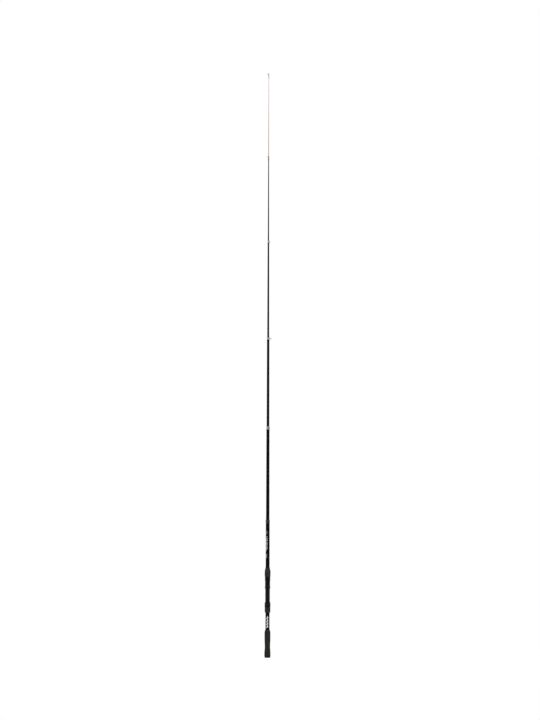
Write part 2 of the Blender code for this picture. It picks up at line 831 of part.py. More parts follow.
def ring_tilted(guide, tilt):
    """Place and rotation of a guide's ring in its frame."""
    return (0, -guide.reach, guide.ring_height), (math.radians(tilt), 0, 0)


def build_insert(name, guide, parent, tilt=0.0):
    """The round-lipped ceramic ring in a guide's rim."""
    outer = guide.ring_radius - guide.rim_wall - GLUE_GAP
    inner = outer - guide.insert_wall
    lip = INSERT_LIP * guide.rim_height
    round_off = INSERT_SHOULDER * guide.insert_wall
    outline = [(outer - round_off, lip), (outer, lip / 2), (outer, -lip / 2), (outer - round_off, -lip)]
    outline += [
        (inner + guide.insert_wall * (1 + across) * INSERT_CROWN, lip * up)
        for across, up in quarter(1, (0, 0), -135, -225, 2)
    ]
    made = piece(name, turned(outline, GUIDE_STEPS), "ceramic", parent)
    made.location, made.rotation_euler = ring_tilted(guide, tilt)


def join_ring(frame, name, guide, tilt=0.0):
    """Join the round rim that holds the insert to a guide's frame."""
    inner = guide.ring_radius - guide.rim_wall
    half = guide.rim_height / 2
    mesh = turned(chamfered(inner, guide.ring_radius, -half, half, guide.rim_wall / 3), GUIDE_STEPS)
    combine(frame, "UNION", helper(f"{name}_rim", mesh, frame, *ring_tilted(guide, tilt)))


def join_legs(frame, name, guide, radius, height, tilt=0.0):
    """Join the two bent legs that run from the ring's sides to the tube or collar at a height."""
    grip = guide.leg_radius - PLATE_BITE
    lean = math.tan(math.radians(tilt))
    for side, label in ((1, "right"), (-1, "left")):
        ring_end = on_circle(guide.ring_radius + grip, side * LEG_TURN_ON_RING, guide.reach, 0)
        ring_end.z = guide.ring_height + (ring_end.y + guide.reach) * lean
        foot = on_circle(radius + grip, side * LEG_TURN_ON_COLLAR, 0, height)
        bend = Vector(
            start + (end - start) * share
            for start, end, share in zip(ring_end, foot, LEG_BEND, strict=True)
        )
        mesh = wire(curved(ring_end, bend, foot, LEG_POINTS), guide.leg_radius, LEG_SIDES)
        combine(frame, "UNION", helper(f"{name}_{label}_leg", mesh, frame))


def build_guide(number, parent):
    """Collar, ring plate, rim and legs in one brazed frame, the ceramic ring, and the wrap below them."""
    guide = GUIDES[number]
    outline = collar_outline(number, guide.collar)
    collar_radius = outline[0][0]
    name = f"guide_{number}"
    frame = piece(f"{name}_frame", turned(outline, GUIDE_STEPS), "bright_steel", parent)
    half = PLATE_THICKNESS / 2
    plate = block(
        (-guide.plate_width / 2, -guide.reach + guide.ring_radius - PLATE_BITE, guide.ring_height - half),
        (guide.plate_width / 2, -collar_radius * PLATE_INNER_END, guide.ring_height + half),
    )
    plate_helper = helper(f"{name}_plate", plate, frame)
    combine(plate_helper, "DIFFERENCE", helper(f"{name}_plate_bore", bore_filler(number, guide), frame))
    combine(frame, "UNION", plate_helper)
    join_ring(frame, name, guide)
    join_legs(frame, name, guide, collar_radius, guide.collar - BEAD_HEIGHT - guide.leg_radius)
    build_insert(f"{name}_ceramic_ring", guide, parent)

    part = section(number)
    inner = part.top_radius + taper_of(number) * (guide.collar + guide.wrap) + GLUE_GAP
    outer = inner + WRAP_THICKNESS
    ends = [(outer, -SEAT_GAP), (outer, -guide.wrap * WRAP_STRAIGHT), (inner + GLUE_GAP, -guide.wrap)]
    wrap = turned(eased(ends, [1, 3]) + [(inner, -guide.wrap), (inner, -SEAT_GAP)], GUIDE_STEPS)
    piece(f"{name}_thread_wrap", wrap, "thread_wrap", parent)


def bore_filler(number, guide):
    """Mesh of the space inside a collar, which keeps its plate out of the bore."""
    radius = collar_outline(number, guide.collar)[6][0] + COLLAR_WALL / 2
    return turned(bullet_outline(radius, guide.collar, MM), GUIDE_STEPS, ring=False)


def build_tip_top(parent):
    """The tube on the tip with its tilted ring, and the ceramic ring in it."""
    bore = section(len(SECTIONS)).top_radius + GLUE_GAP
    blind = TIP_TUBE_LENGTH - TIP_TUBE_BLIND
    outline = [
        (0, TIP_TUBE_LENGTH),
        (TIP_TUBE_RADIUS * TIP_TUBE_CROWN, TIP_TUBE_LENGTH - HARD_CHAMFER / 2),
        (TIP_TUBE_RADIUS, TIP_TUBE_LENGTH - 2 * HARD_CHAMFER),
        (TIP_TUBE_RADIUS, 0),
        (bore, 0),
        (bore, blind),
        (0, blind),
    ]
    frame = piece("tip_top_frame", turned(outline, GUIDE_STEPS, ring=False), "bright_steel", parent)
    join_ring(frame, "tip_top", TIP_RING, TIP_RING_TILT)
    join_legs(frame, "tip_top", TIP_RING, TIP_TUBE_RADIUS, TIP_TUBE_LENGTH - TIP_LEG_DROP, TIP_RING_TILT)
    build_insert("tip_top_ceramic_ring", TIP_RING, parent, TIP_RING_TILT)


def build_rod():
    """The handle with the first section, then each section with what it carries, from the butt up."""
    handle = carrier("handle", 0)
    blank_carrier = carrier("section_1", section_foot(1), handle)
    build_blank(1, blank_carrier)
    collar = turned(collar_outline(1, BUTT_COLLAR_HEIGHT), GUIDE_STEPS)
    piece("section_1_end_collar", collar, "dark_steel", handle, (0, 0, section_top(1) - BUTT_COLLAR_HEIGHT))
    build_butt_end(handle)
    build_grips(handle)
    build_barrel(handle)
    build_fixed_hood(handle)
    build_lock_nut(build_sliding_hood(handle))
    below = handle
    for number in range(2, len(SECTIONS) + 1):
        turn = below["turn"]
        blank_carrier = carrier(f"section_{number}", section_foot(number), below, turn)
        build_blank(number, blank_carrier)
        if number in GUIDES:
            guide = GUIDES[number]
            below = carrier(f"guide_{number}", section_top(number) - guide.collar, blank_carrier, guide.turn)
            build_guide(number, below)
    tube_foot = section_top(len(SECTIONS)) - TIP_TUBE_LENGTH + TIP_TUBE_BLIND + SEAT_GAP
    build_tip_top(carrier("tip_top", tube_foot, blank_carrier, TIP_TURN))


clear_scene()
pieces = new_collection("telescopic_spinning_rod")
helpers = new_collection("cutters")
build_rod()
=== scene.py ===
"""Looks of a six-section telescopic spinning rod, drawn out and standing on its butt.

Lengths are metres. Heights run up the rod's axis from the butt, and angles round the
rod are counted from its front, which is -Y, towards +X.
"""

import logging
import math
from collections.abc import Callable, Mapping, Sequence
from dataclasses import dataclass
from enum import Enum
from functools import cache

import bmesh
import bpy
from mathutils import Matrix, Vector

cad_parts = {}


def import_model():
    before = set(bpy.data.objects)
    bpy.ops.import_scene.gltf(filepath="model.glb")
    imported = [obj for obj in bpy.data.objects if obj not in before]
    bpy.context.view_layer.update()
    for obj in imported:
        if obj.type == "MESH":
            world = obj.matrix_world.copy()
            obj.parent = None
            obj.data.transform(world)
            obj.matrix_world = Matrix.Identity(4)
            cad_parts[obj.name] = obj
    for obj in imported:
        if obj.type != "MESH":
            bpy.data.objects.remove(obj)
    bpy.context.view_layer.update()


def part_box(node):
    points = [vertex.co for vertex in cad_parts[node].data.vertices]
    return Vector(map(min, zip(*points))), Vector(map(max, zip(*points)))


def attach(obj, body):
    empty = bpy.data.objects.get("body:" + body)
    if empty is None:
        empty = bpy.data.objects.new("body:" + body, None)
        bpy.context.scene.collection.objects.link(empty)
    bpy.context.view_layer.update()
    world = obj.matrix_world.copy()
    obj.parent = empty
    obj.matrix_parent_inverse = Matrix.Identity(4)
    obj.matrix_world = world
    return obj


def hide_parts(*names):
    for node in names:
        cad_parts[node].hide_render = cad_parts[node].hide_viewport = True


LOG = logging.getLogger("spinning_rod")

MM = 0.001

GLUE_GAP = 0.15 * MM  # round a piece that is glued on or in another
SEAT_GAP = 0.3 * MM  # between two faces that meet
FERRULE_GAP = 0.15 * MM  # round a section in the mouth of the one below
CREASE = math.radians(35)  # steeper edges keep a hard line
TINY = 1e-7  # a ring of a smaller radius is a point
ROUNDED_SHARE = 0.45  # most of a side that one rounded corner takes
MIDWAY = 0.3  # how deep the middle of a rounded edge lies, of how far the edge reaches
THREAD_FLANKS = (0.15, 0.85)  # where the flanks of a thread start and end on a smooth wave

Pair = tuple[float, float]
Profile = list[Pair]
Corners = list[tuple[float, float, float]]  # radius, height and rounding
Ring = list[Vector]
Contour = Callable[[float], Pair]
Colour = tuple[int, int, int]
Node = bpy.types.Node
Outputs = bpy.types.NodeOutputs
Tree = bpy.types.NodeTree  # of a material, the world or an effect
Socket = bpy.types.NodeSocket
Feed = bpy.types.NodeSocket | float | Sequence[float]
Inputs = Mapping[str, Feed] | Mapping[int, Feed]  # by name or by number


class Look(Enum):
    """Finishes of the rod. All but the two inks are material slots of its record."""

    FOAM = "foam"
    LIGHT_FOAM = "light_foam"
    BLACK_LACQUER = "black_lacquer"
    ORANGE_LACQUER = "orange_lacquer"
    SEAT_PLASTIC = "seat_plastic"
    HOOD_METAL = "hood_metal"
    DARK_STEEL = "dark_steel"
    BRIGHT_STEEL = "bright_steel"
    CERAMIC = "ceramic"
    THREAD_WRAP = "thread_wrap"
    RUBBER = "rubber"
    NYLON = "nylon"
    WHITE_INK = "white_ink"
    GREY_INK = "grey_ink"

    @property
    def printed(self) -> bool:
        """Whether it is an ink."""
        return self in (Look.WHITE_INK, Look.GREY_INK)


# Outlines


def soft_max(first: float, second: float, width: float) -> float:
    """Larger of two lengths, with the crease where they cross filled over a width."""
    overlap = max(width - abs(first - second), 0.0)
    return max(first, second) + overlap * overlap / (4 * width)


def soft_min(first: float, second: float, width: float) -> float:
    """Smaller of two lengths, with the edge where they cross taken off over a width."""
    return -soft_max(-first, -second, width)


def smooth_step(value: float, low: float, high: float) -> float:
    """How much of the way from low to high a value has gone, from 0 to 1 with soft ends."""
    share = min(max((value - low) / (high - low), 0.0), 1.0)
    return share * share * (3 - 2 * share)


def even_steps(end: float, count: int) -> list[float]:
    """Numbers from 0 to an end, in so many equal steps."""
    return [end * step / count for step in range(count + 1)]


def eased(stations: Sequence[Pair], steps: int) -> Profile:
    """Smooth outline through stations, with level tangents at each.

    Args:
        stations: Radius and height of each station, in order.
        steps: Straight parts between two stations.

    Returns:
        The outline's points, both ends included.
    """
    points: Profile = []
    for (radius, height), (next_radius, next_height) in zip(stations[:-1], stations[1:], strict=True):
        for share in even_steps(1.0, steps)[:-1]:
            swing = (1 - math.cos(math.pi * share)) / 2
            across, up = (next_radius - radius) * swing, (next_height - height) * share
            points.append((radius + across, height + up))
    return [*points, stations[-1]]


def softened(corners: Corners, steps: int = 4) -> Profile:
    """Outline whose corners are rounded.

    Args:
        corners: Radius, height and rounding of each corner, in order.
        steps: Straight parts in each rounded corner.

    Returns:
        The outline's points.
    """
    points: Profile = []
    for index, (radius, height, rounding) in enumerate(corners):
        if rounding <= 0:
            points.append((radius, height))
            continue
        corner = Vector((radius, height))
        back = Vector(corners[index - 1][:2]) - corner
        ahead = Vector(corners[(index + 1) % len(corners)][:2]) - corner
        half = back.angle(ahead) / 2
        reach = min(rounding / math.tan(half), ROUNDED_SHARE * min(back.length, ahead.length))
        back.normalize()
        ahead.normalize()
        middle = corner + (back + ahead).normalized() * (reach / math.cos(half))
        first = corner + back * reach - middle
        last = corner + ahead * reach - middle
        for share in even_steps(1.0, steps):
            point = middle + first.lerp(last, share).normalized() * first.length
            points.append((point.x, point.y))
    return points


def round_nosed(radius: float, straight: float, nose: float, depth: float) -> float:
    """Radius of a round-nosed pocket or bulge at a depth.

    Args:
        radius: Radius of its straight part.
        straight: Length of its straight part, from its open end.
        nose: Length of its rounded end.
        depth: The depth from its open end.

    Returns:
        The radius, 0 past its nose.
    """
    if depth <= straight:
        return radius
    return radius * math.sqrt(max(1 - ((depth - straight) / nose) ** 2, 0.0))


def off_axis(angle: float, middle: float, radius: float) -> float:
    """How far from the rod's axis a circle in front of it reaches.

    Args:
        angle: Angle round the rod.
        middle: How far in front of the axis the circle's middle is.
        radius: The circle's radius.

    Returns:
        The distance to its far side at that angle, 0 where it isn't met.
    """
    under = radius * radius - (middle * math.sin(angle)) ** 2
    if under <= 0 or (radius < middle and math.cos(angle) <= 0):
        return 0.0
    return max(middle * math.cos(angle) + math.sqrt(under), 0.0)


def flattened(angle: float, radius: float, flat: float, edge: float) -> float:
    """Radius of a round bar or bore with a flat in front.

    Args:
        angle: Angle round the rod.
        radius: Radius of the round part.
        flat: How far in front of the axis the flat is.
        edge: How far the edges between the two are rounded.

    Returns:
        The radius at that angle.
    """
    ahead = math.cos(angle)
    if ahead * radius < flat / 2:  # well past the flat's edges, where it can't be met
        return radius
    return soft_min(radius, flat / ahead, edge)


def thread_ridge(angle: float, height: float, pitch: float) -> float:
    """Share from 0 to 1 that a right-hand thread rises at an angle and a height."""
    turn = height / pitch - angle / (2 * math.pi)
    return smooth_step(0.5 + 0.5 * math.cos(2 * math.pi * turn), *THREAD_FLANKS)


@dataclass(frozen=True)
class Fluting:
    """Round grooves spaced evenly round a rim."""

    count: int
    rim: float
    radius: float
    depth: float
    first: float = 0.0  # degrees to the middle of the first groove

    def cut(self, angle: float) -> float:
        """How deep the rim is cut at an angle.

        Args:
            angle: Angle round the rod.

        Returns:
            The depth, 0 between two grooves.
        """
        pitch = 2 * math.pi / self.count
        off = (angle - math.radians(self.first) + pitch / 2) % pitch - pitch / 2
        middle = self.rim + self.radius - self.depth
        under = self.radius**2 - (middle * math.sin(off)) ** 2
        if under <= 0:
            return 0.0
        return max(self.rim - middle * math.cos(off) + math.sqrt(under), 0.0)


def around(angle: float, radius: float, height: float) -> Vector:
    """A point round the rod's axis."""
    return Vector((radius * math.sin(angle), -radius * math.cos(angle), height))


def raised(height: float) -> Matrix:
    """Place of what stands upright at a height."""
    return Matrix.Translation((0, 0, height))


def fixed_ring(radius: float, height: float) -> Contour:
    """Contour of a plain round ring."""
    return lambda angle: (radius, height)


class Piece:
    """A visible piece of the rod, put together from closed surfaces."""

    def __init__(self, name: str) -> None:
        """Start an empty piece with this name."""
        self.name = name
        self.work = bmesh.new()

    def skin(self, rings: Sequence[Ring], closed: bool = False) -> None:
        """Add the surface through a row of rings.

        Args:
            rings: Rings of equal length, or of one point where the surface ends in a tip.
            closed: Whether the last ring joins the first. If not, both ends are filled.
        """
        rows = [[self.work.verts.new(point) for point in ring] for ring in rings]
        pairs = list(zip(rows[:-1], rows[1:], strict=True))
        if closed:
            pairs.append((rows[-1], rows[0]))
        for low, high in pairs:
            self._band(low, high)
        if not closed:
            for row in (rows[0], rows[-1]):
                if len(row) > 1:
                    self.work.faces.new(row)

    def _band(self, low: list[bmesh.types.BMVert], high: list[bmesh.types.BMVert]) -> None:
        """Join two rings.

        Args:
            low: Vertices of the first ring, one if it is a tip.
            high: Vertices of the second ring, one if it is a tip.
        """
        count = max(len(low), len(high))
        for index in range(count):
            after = (index + 1) % count
            corners = [low[index % len(low)], low[after % len(low)]]
            corners += [high[after % len(high)], high[index % len(high)]]
            self.work.faces.new(list(dict.fromkeys(corners)))

    def wrap(self, contours: Sequence[Contour], sides: int, place: Matrix, closed: bool = True) -> None:
        """Add a surface round the rod's axis.

        Args:
            contours: Radius and height of each ring, by the angle round the axis.
            sides: Points in each ring.
            place: Where the surface goes.
            closed: Whether the last ring joins the first, as in a tube with a bore.
        """
        angles = even_steps(2 * math.pi, sides)[:-1]
        rings = []
        for contour in contours:
            radius, height = contour(0.0)
            if radius < TINY:
                rings.append([place @ Vector((0, 0, height))])
            else:
                rings.append([place @ around(angle, *contour(angle)) for angle in angles])
        self.skin(rings, closed)

    def turn(self, outline: Profile, sides: int, place: Matrix, closed: bool = True) -> None:
        """Add an outline turned about the axis, where it starts and ends if it isn't closed."""
        self.wrap([fixed_ring(*point) for point in outline], sides, place, closed)

    def wire(self, path: Sequence[Vector], radius: float, sides: int = 14) -> None:
        """Add a round wire.

        Args:
            path: Points along its middle.
            radius: Its radius.
            sides: Points round it.
        """
        across = (path[1] - path[0]).orthogonal().normalized()
        angles = even_steps(2 * math.pi, sides)[:-1]
        rings = []
        for index, centre in enumerate(path):
            ahead = (path[min(index + 1, len(path) - 1)] - path[max(index - 1, 0)]).normalized()
            across = (across - ahead * across.dot(ahead)).normalized()
            beside = ahead.cross(across)
            spokes = [across * math.cos(angle) + beside * math.sin(angle) for angle in angles]
            rings.append([centre + spoke * radius for spoke in spokes])
        self.skin(rings)

    def bead(self, centre: Vector, radius: float, sides: int = 16) -> None:
        """Add a round bead.

        Args:
            centre: Its middle.
            radius: Its radius.
            sides: Points round it.
        """
        angles = even_steps(math.pi, sides // 2)[:-1]
        arc = [(radius * math.sin(angle), radius * math.cos(angle)) for angle in angles]
        self.turn([*arc, (0.0, -radius)], sides, Matrix.Translation(centre), closed=False)

    def finish(self, look: Look, body: str, *nodes: str) -> None:
        """Close the piece's mesh, dress it and hang it on its body.

        Args:
            look: The finish it gets.
            body: The body it moves with.
            nodes: Nodes of the plain model that it stands for.
        """
        bmesh.ops.recalc_face_normals(self.work, faces=self.work.faces)
        mesh = bpy.data.meshes.new(self.name)
        self.work.to_mesh(mesh)
        self.work.free()
        mesh.shade_smooth()
        mesh.set_sharp_from_angle(angle=CREASE)
        mesh.materials.append(material_of(look))
        made = bpy.data.objects.new(self.name, mesh)
        bpy.context.scene.collection.objects.link(made)
        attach(made, body)
        if nodes:
            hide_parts(*nodes)
        LOG.info("%s: %d faces, %s, on %s", self.name, len(mesh.polygons), look.value, body)


# Node trees


def linear(level: float) -> float:
    """Linear light of an sRGB level from 0 to 255, by the two parts of the sRGB curve."""
    share = level / 255
    return share / 12.92 if share <= 0.04045 else ((share + 0.055) / 1.055) ** 2.4


def paint(colour: Colour, share: float = 1.0) -> tuple[float, float, float, float]:
    """Shader colour of an sRGB colour, with its light multiplied by a share."""
    red, green, blue = (min(linear(level) * share, 1.0) for level in colour)
    return (red, green, blue, 1.0)


class Wiring:
    """Adds nodes to a node tree and joins them."""

    ACROSS = 190  # from a node to the next one in its row
    DOWN = 260  # from a row to the next one
    IN_A_ROW = 9
    USUAL_NOISE = (0.3, 0.7)  # between which most values of a noise lie
    MIX_INPUTS = (0, 6, 7)  # share and colours of a node that mixes colours
    MIX_OUTPUT = 2

    def __init__(self, tree: Tree) -> None:
        """Work in this tree."""
        self.tree = tree

    def node(self, kind: str, inputs: Inputs | None = None, **settings: object) -> Node:
        """Add a node.

        Args:
            kind: Its type.
            inputs: What its inputs get.
            settings: Its settings, by name.

        Returns:
            The node.
        """
        made = self.tree.nodes.new(kind)
        row, column = divmod(len(self.tree.nodes), self.IN_A_ROW)
        made.location = (-self.ACROSS * (self.IN_A_ROW - column), -self.DOWN * row)
        for name, value in settings.items():
            setattr(made, name, value)
        self.feed(made, inputs or {})
        return made

    def feed(self, node: Node, inputs: Inputs) -> None:
        """Give inputs of a node their values, or link them.

        Args:
            node: The node.
            inputs: A number, a colour or another node's output for each.
        """
        for name, value in inputs.items():
            if isinstance(value, bpy.types.NodeSocket):
                self.tree.links.new(value, node.inputs[name])
            else:
                node.inputs[name].default_value = value

    def coat(self, shader: Node, colour: Feed, roughness: Feed, normal: Feed) -> None:
        """Feed a shader's colour, roughness and normal."""
        self.feed(shader, {"Base Color": colour, "Roughness": roughness, "Normal": normal})

    def math(self, operation: str, *values: Feed, clamp: bool = False) -> Socket:
        """Work out a number, held between 0 and 1 if it is clamped."""
        inputs = dict(enumerate(values))
        return self.node("ShaderNodeMath", inputs, operation=operation, use_clamp=clamp).outputs[0]

    def remap(
        self, value: Feed, low: float, high: float, to_low: Feed = 0.0, to_high: Feed = 1.0
    ) -> Socket:
        """Move a value from one range to another, held within its ends."""
        inputs = {"Value": value, "From Min": low, "From Max": high, "To Min": to_low, "To Max": to_high}
        return self.node("ShaderNodeMapRange", inputs, clamp=True).outputs["Result"]

    def mix(self, share: Feed, first: Feed, second: Feed) -> Socket:
        """Mix two colours, with a share of the second."""
        inputs = dict(zip(self.MIX_INPUTS, (share, first, second), strict=True))
        return self.node("ShaderNodeMix", inputs, data_type="RGBA").outputs[self.MIX_OUTPUT]

    def place(self) -> Socket:
        """Where a point of the surface is on the rod at rest."""
        return self.node("ShaderNodeTexCoord").outputs["Object"]

    def noise(self, size: Feed, detail: float = 2.0) -> Socket:
        """Soft noise over the surface.

        Args:
            size: Size of its lumps in metres.
            detail: How many finer layers lie on them.

        Returns:
            The noise, from 0 to 1.
        """
        scale = self.math("DIVIDE", 1.0, size)
        inputs = {"Vector": self.place(), "Scale": scale, "Detail": detail}
        return self.node("ShaderNodeTexNoise", inputs).outputs["Fac"]

    def cloud(self, size: Feed, detail: float = 3.0, low: Feed = 0.0, high: Feed = 1.0) -> Socket:
        """Soft noise whose usual values are spread over a whole range, from low to high."""
        return self.remap(self.noise(size, detail), *self.USUAL_NOISE, low, high)

    def cells(self, size: Feed) -> Socket:
        """Distance from the middle of a cell, of those scattered over the surface, in its sizes."""
        inputs = {"Vector": self.place(), "Scale": self.math("DIVIDE", 1.0, size)}
        return self.node("ShaderNodeTexVoronoi", inputs).outputs["Distance"]

    def bump(self, height: Feed, depth: float, under: Socket | None = None) -> Socket:
        """Normal of a relief whose heights from 0 to 1 span a depth in metres.

        Args:
            height: The relief's height.
            depth: How deep it is.
            under: Normal of a relief that it lies on.

        Returns:
            The normal.
        """
        inputs = {"Distance": depth, "Height": height}
        if under is not None:
            inputs["Normal"] = under
        return self.node("ShaderNodeBump", inputs).outputs["Normal"]

    def effect(self, group: Tree, **values: Feed) -> Node:
        """Place a shared effect, with what its inputs get here by name."""
        return self.node("ShaderNodeGroup", values, node_tree=group)


class Effect:
    """A shader node group in the making."""

    def __init__(self, name: str, inputs: dict[str, float], outputs: Sequence[str]) -> None:
        """Open a group.

        Args:
            name: Its name.
            inputs: Its inputs, with what they are if nothing feeds them.
            outputs: Its outputs.
        """
        self.tree = bpy.data.node_groups.new(name, "ShaderNodeTree")
        for label, value in inputs.items():
            socket = self.tree.interface.new_socket(label, in_out="INPUT", socket_type="NodeSocketFloat")
            socket.default_value = value
        for label in outputs:
            self.tree.interface.new_socket(label, in_out="OUTPUT", socket_type="NodeSocketFloat")
        self.wiring = Wiring(self.tree)
        self.given = self.wiring.node("NodeGroupInput").outputs
        self.result = self.wiring.node("NodeGroupOutput")

    def close(self, **results: Socket) -> Tree:
        """Link the group's outputs to what they get by name."""
        self.wiring.feed(self.result, results)
        return self.tree


# Effects that the finishes share

FINE_DETAIL = 5.0  # layers of a noise that breaks up wear, dust or ink
CLOUD_DETAIL = 4.0  # layers of a cloud that stains, smudges or shades
DRIFT_PATCH = 45.0  # size of a patch whose roughness drifts, in grains
SPECKLE = 0.5  # most that one grain sways the roughness, of its spread
SMALL_PIT = (0.08, 0.5)  # where a pit's wall starts and ends, from the middle of its cell
LARGE_PIT = (0.06, 0.2)
LARGE_PIT_SIZE = 3.4  # in small ones
FOAM_CLOUD_SIZE = 30.0  # in small pits
FOAM_CLOUD = 0.5  # how much of the tone the cloud gives
FOAM_PIT_SHADE = 0.45  # painted shade in the pits: how much they darken the tone
WORN_EDGE = (0.57, 0.68)  # how sharp an edge is where wear starts, and where it is full
WORN_PATCH = (0.42, 0.6)  # noise where wear starts, and where it is full
LOOKING_UP = (0.1, 0.95)  # how far up a face looks where it gathers dust, and where the most
STANDING_DUST = 0.25  # dust on a face that doesn't look up, of the most
DUSTY_PATCH = (0.45, 0.75)  # noise where dust starts, and where it is full
DUST_PATCH_SIZE = 3.0 * MM  # where a finish gives none of its own
STRAY_LENGTH = 3.0  # over which a wound line strays, in pitches


@cache
def fine_grain() -> Tree:
    """Grain of a sprayed or moulded skin, and a roughness that drifts with handling.

    Returns:
        The group. It takes the grain's size and the middle and spread of the roughness.
    """
    inputs = {"Size": 0.4 * MM, "Middle": 0.4, "Spread": 0.08}
    effect = Effect("fine_grain", inputs, ("Height", "Roughness"))
    wiring, given = effect.wiring, effect.given
    drift = wiring.cloud(wiring.math("MULTIPLY", given["Size"], DRIFT_PATCH), low=-1.0, high=1.0)
    grain = wiring.noise(given["Size"])
    speck = wiring.remap(grain, *wiring.USUAL_NOISE, -SPECKLE, SPECKLE)
    swing = wiring.math("MULTIPLY", wiring.math("ADD", drift, speck), given["Spread"])
    rough = wiring.math("ADD", given["Middle"], swing, clamp=True)
    return effect.close(Height=grain, Roughness=rough)


@cache
def foam_cells() -> Tree:
    """Cut face of a closed-cell foam: small pits, a few larger ones, and a cloudy tone with painted shade
    in the pits.

    Returns:
        The group. It takes the size of a small pit and how deep the larger ones are.
    """
    effect = Effect("foam_cells", {"Size": 0.5 * MM, "Open": 0.5}, ("Height", "Tone"))
    wiring, given = effect.wiring, effect.given
    small = wiring.remap(wiring.cells(given["Size"]), *SMALL_PIT)
    pits = wiring.cells(wiring.math("MULTIPLY", given["Size"], LARGE_PIT_SIZE))
    large = wiring.remap(pits, *LARGE_PIT)
    large = wiring.math("MAXIMUM", large, wiring.math("SUBTRACT", 1.0, given["Open"]))
    height = wiring.math("MULTIPLY", small, large)
    patch = wiring.math("MULTIPLY", given["Size"], FOAM_CLOUD_SIZE)
    cloud = wiring.cloud(patch, CLOUD_DETAIL, high=FOAM_CLOUD)
    # painted shade: the pits darken the tone, over a cloud of random tone
    tone = wiring.math("ADD", wiring.math("MULTIPLY", height, FOAM_PIT_SHADE), cloud)
    return effect.close(Height=height, Tone=tone)


@cache
def edge_wear() -> Tree:
    """Where hard edges are rubbed through, in patches.

    Returns:
        The group. It takes how much is rubbed through at most and the size of a patch.
    """
    effect = Effect("edge_wear", {"Amount": 0.5, "Patch": 2.0 * MM}, ("Mask",))
    wiring, given = effect.wiring, effect.given
    point = wiring.node("ShaderNodeNewGeometry").outputs["Pointiness"]
    edge = wiring.remap(point, *WORN_EDGE)
    patch = wiring.remap(wiring.noise(given["Patch"], detail=FINE_DETAIL), *WORN_PATCH)
    rubbed = wiring.math("MULTIPLY", edge, patch)
    return effect.close(Mask=wiring.math("MULTIPLY", rubbed, given["Amount"], clamp=True))


@cache
def settled_dust() -> Tree:
    """Thin dust, thicker on faces that look up.

    Returns:
        The group. It takes how thick the dust is at most and the size of a dusty patch.
    """
    effect = Effect("settled_dust", {"Amount": 0.3, "Size": DUST_PATCH_SIZE}, ("Mask",))
    wiring, given = effect.wiring, effect.given
    normal = wiring.node("ShaderNodeNewGeometry").outputs["Normal"]
    up = wiring.node("ShaderNodeSeparateXYZ", {0: normal}).outputs["Z"]
    lying = wiring.remap(up, *LOOKING_UP, to_low=STANDING_DUST)
    patch = wiring.remap(wiring.noise(given["Size"], detail=FINE_DETAIL), *DUSTY_PATCH)
    veil = wiring.math("MULTIPLY", lying, patch)
    return effect.close(Mask=wiring.math("MULTIPLY", veil, given["Amount"], clamp=True))


@cache
def wound_lines() -> Tree:
    """Lines wound round the rod's axis: tape under lacquer, thread, or the marks of a lathe.

    Returns:
        The group. It takes the pitch, and how far a line strays and how wide it is in pitches.
    """
    inputs = {"Pitch": 1.0 * MM, "Wander": 0.0, "Width": 0.5}
    effect = Effect("wound_lines", inputs, ("Height",))
    wiring, given = effect.wiring, effect.given
    point = wiring.node("ShaderNodeSeparateXYZ", {0: wiring.place()}).outputs
    turn = wiring.math("DIVIDE", wiring.math("ARCTAN2", point["Y"], point["X"]), 2 * math.pi)
    climb = wiring.math("DIVIDE", point["Z"], given["Pitch"])
    drift = wiring.noise(wiring.math("MULTIPLY", given["Pitch"], STRAY_LENGTH))
    sway = wiring.math("MULTIPLY", drift, given["Wander"])
    phase = wiring.math("ADD", wiring.math("SUBTRACT", climb, turn), sway)
    wave = wiring.math("PINGPONG", phase, 0.5)
    line = wiring.math("DIVIDE", wiring.math("MULTIPLY", wave, 2.0), given["Width"], clamp=True)
    return effect.close(Height=line)


# Finishes

DUST: Colour = (150, 146, 136)


def dusted(wiring: Wiring, under: Socket, amount: float, size: float = DUST_PATCH_SIZE) -> Socket:
    """A colour under dust, which is so thick at most and lies in patches of a size."""
    dust = wiring.effect(settled_dust(), Amount=amount, Size=size).outputs["Mask"]
    return wiring.mix(dust, under, paint(DUST))


@dataclass(frozen=True)
class Finish:
    """What every surface of the rod has."""

    colour: Colour
    roughness: float
    metallic: float = 0.0
    gloss: float = 0.5  # specular level
    spread: float = 0.2  # how far its colour's light varies either way
    drift: float = 0.06  # how far its roughness varies either way

    def make(self, name: str) -> bpy.types.Material:
        """Build the material of this finish.

        Args:
            name: The material's name.

        Returns:
            The material.
        """
        material = bpy.data.materials.new(name)
        material.use_nodes = True
        shader = material.node_tree.nodes["Principled BSDF"]
        wiring = Wiring(material.node_tree)
        wiring.feed(shader, {"Metallic": self.metallic, "Specular IOR Level": self.gloss})
        material.diffuse_color = paint(self.colour)
        self.dress(wiring, shader)
        return material

    def dress(self, wiring: Wiring, shader: Node) -> None:
        """Feed the shader with what changes over the surface."""
        raise NotImplementedError

    def shaded(self, wiring: Wiring, share: Feed) -> Socket:
        """The finish's colour, darker where a share is low and lighter where it is high."""
        low, high = 1 - self.spread, 1 + self.spread
        return wiring.mix(share, paint(self.colour, low), paint(self.colour, high))

    def grained(self, wiring: Wiring, size: float) -> Outputs:
        """Fine grain of a size, with the finish's roughness drifting over it."""
        return wiring.effect(fine_grain(), Size=size, Middle=self.roughness, Spread=self.drift).outputs


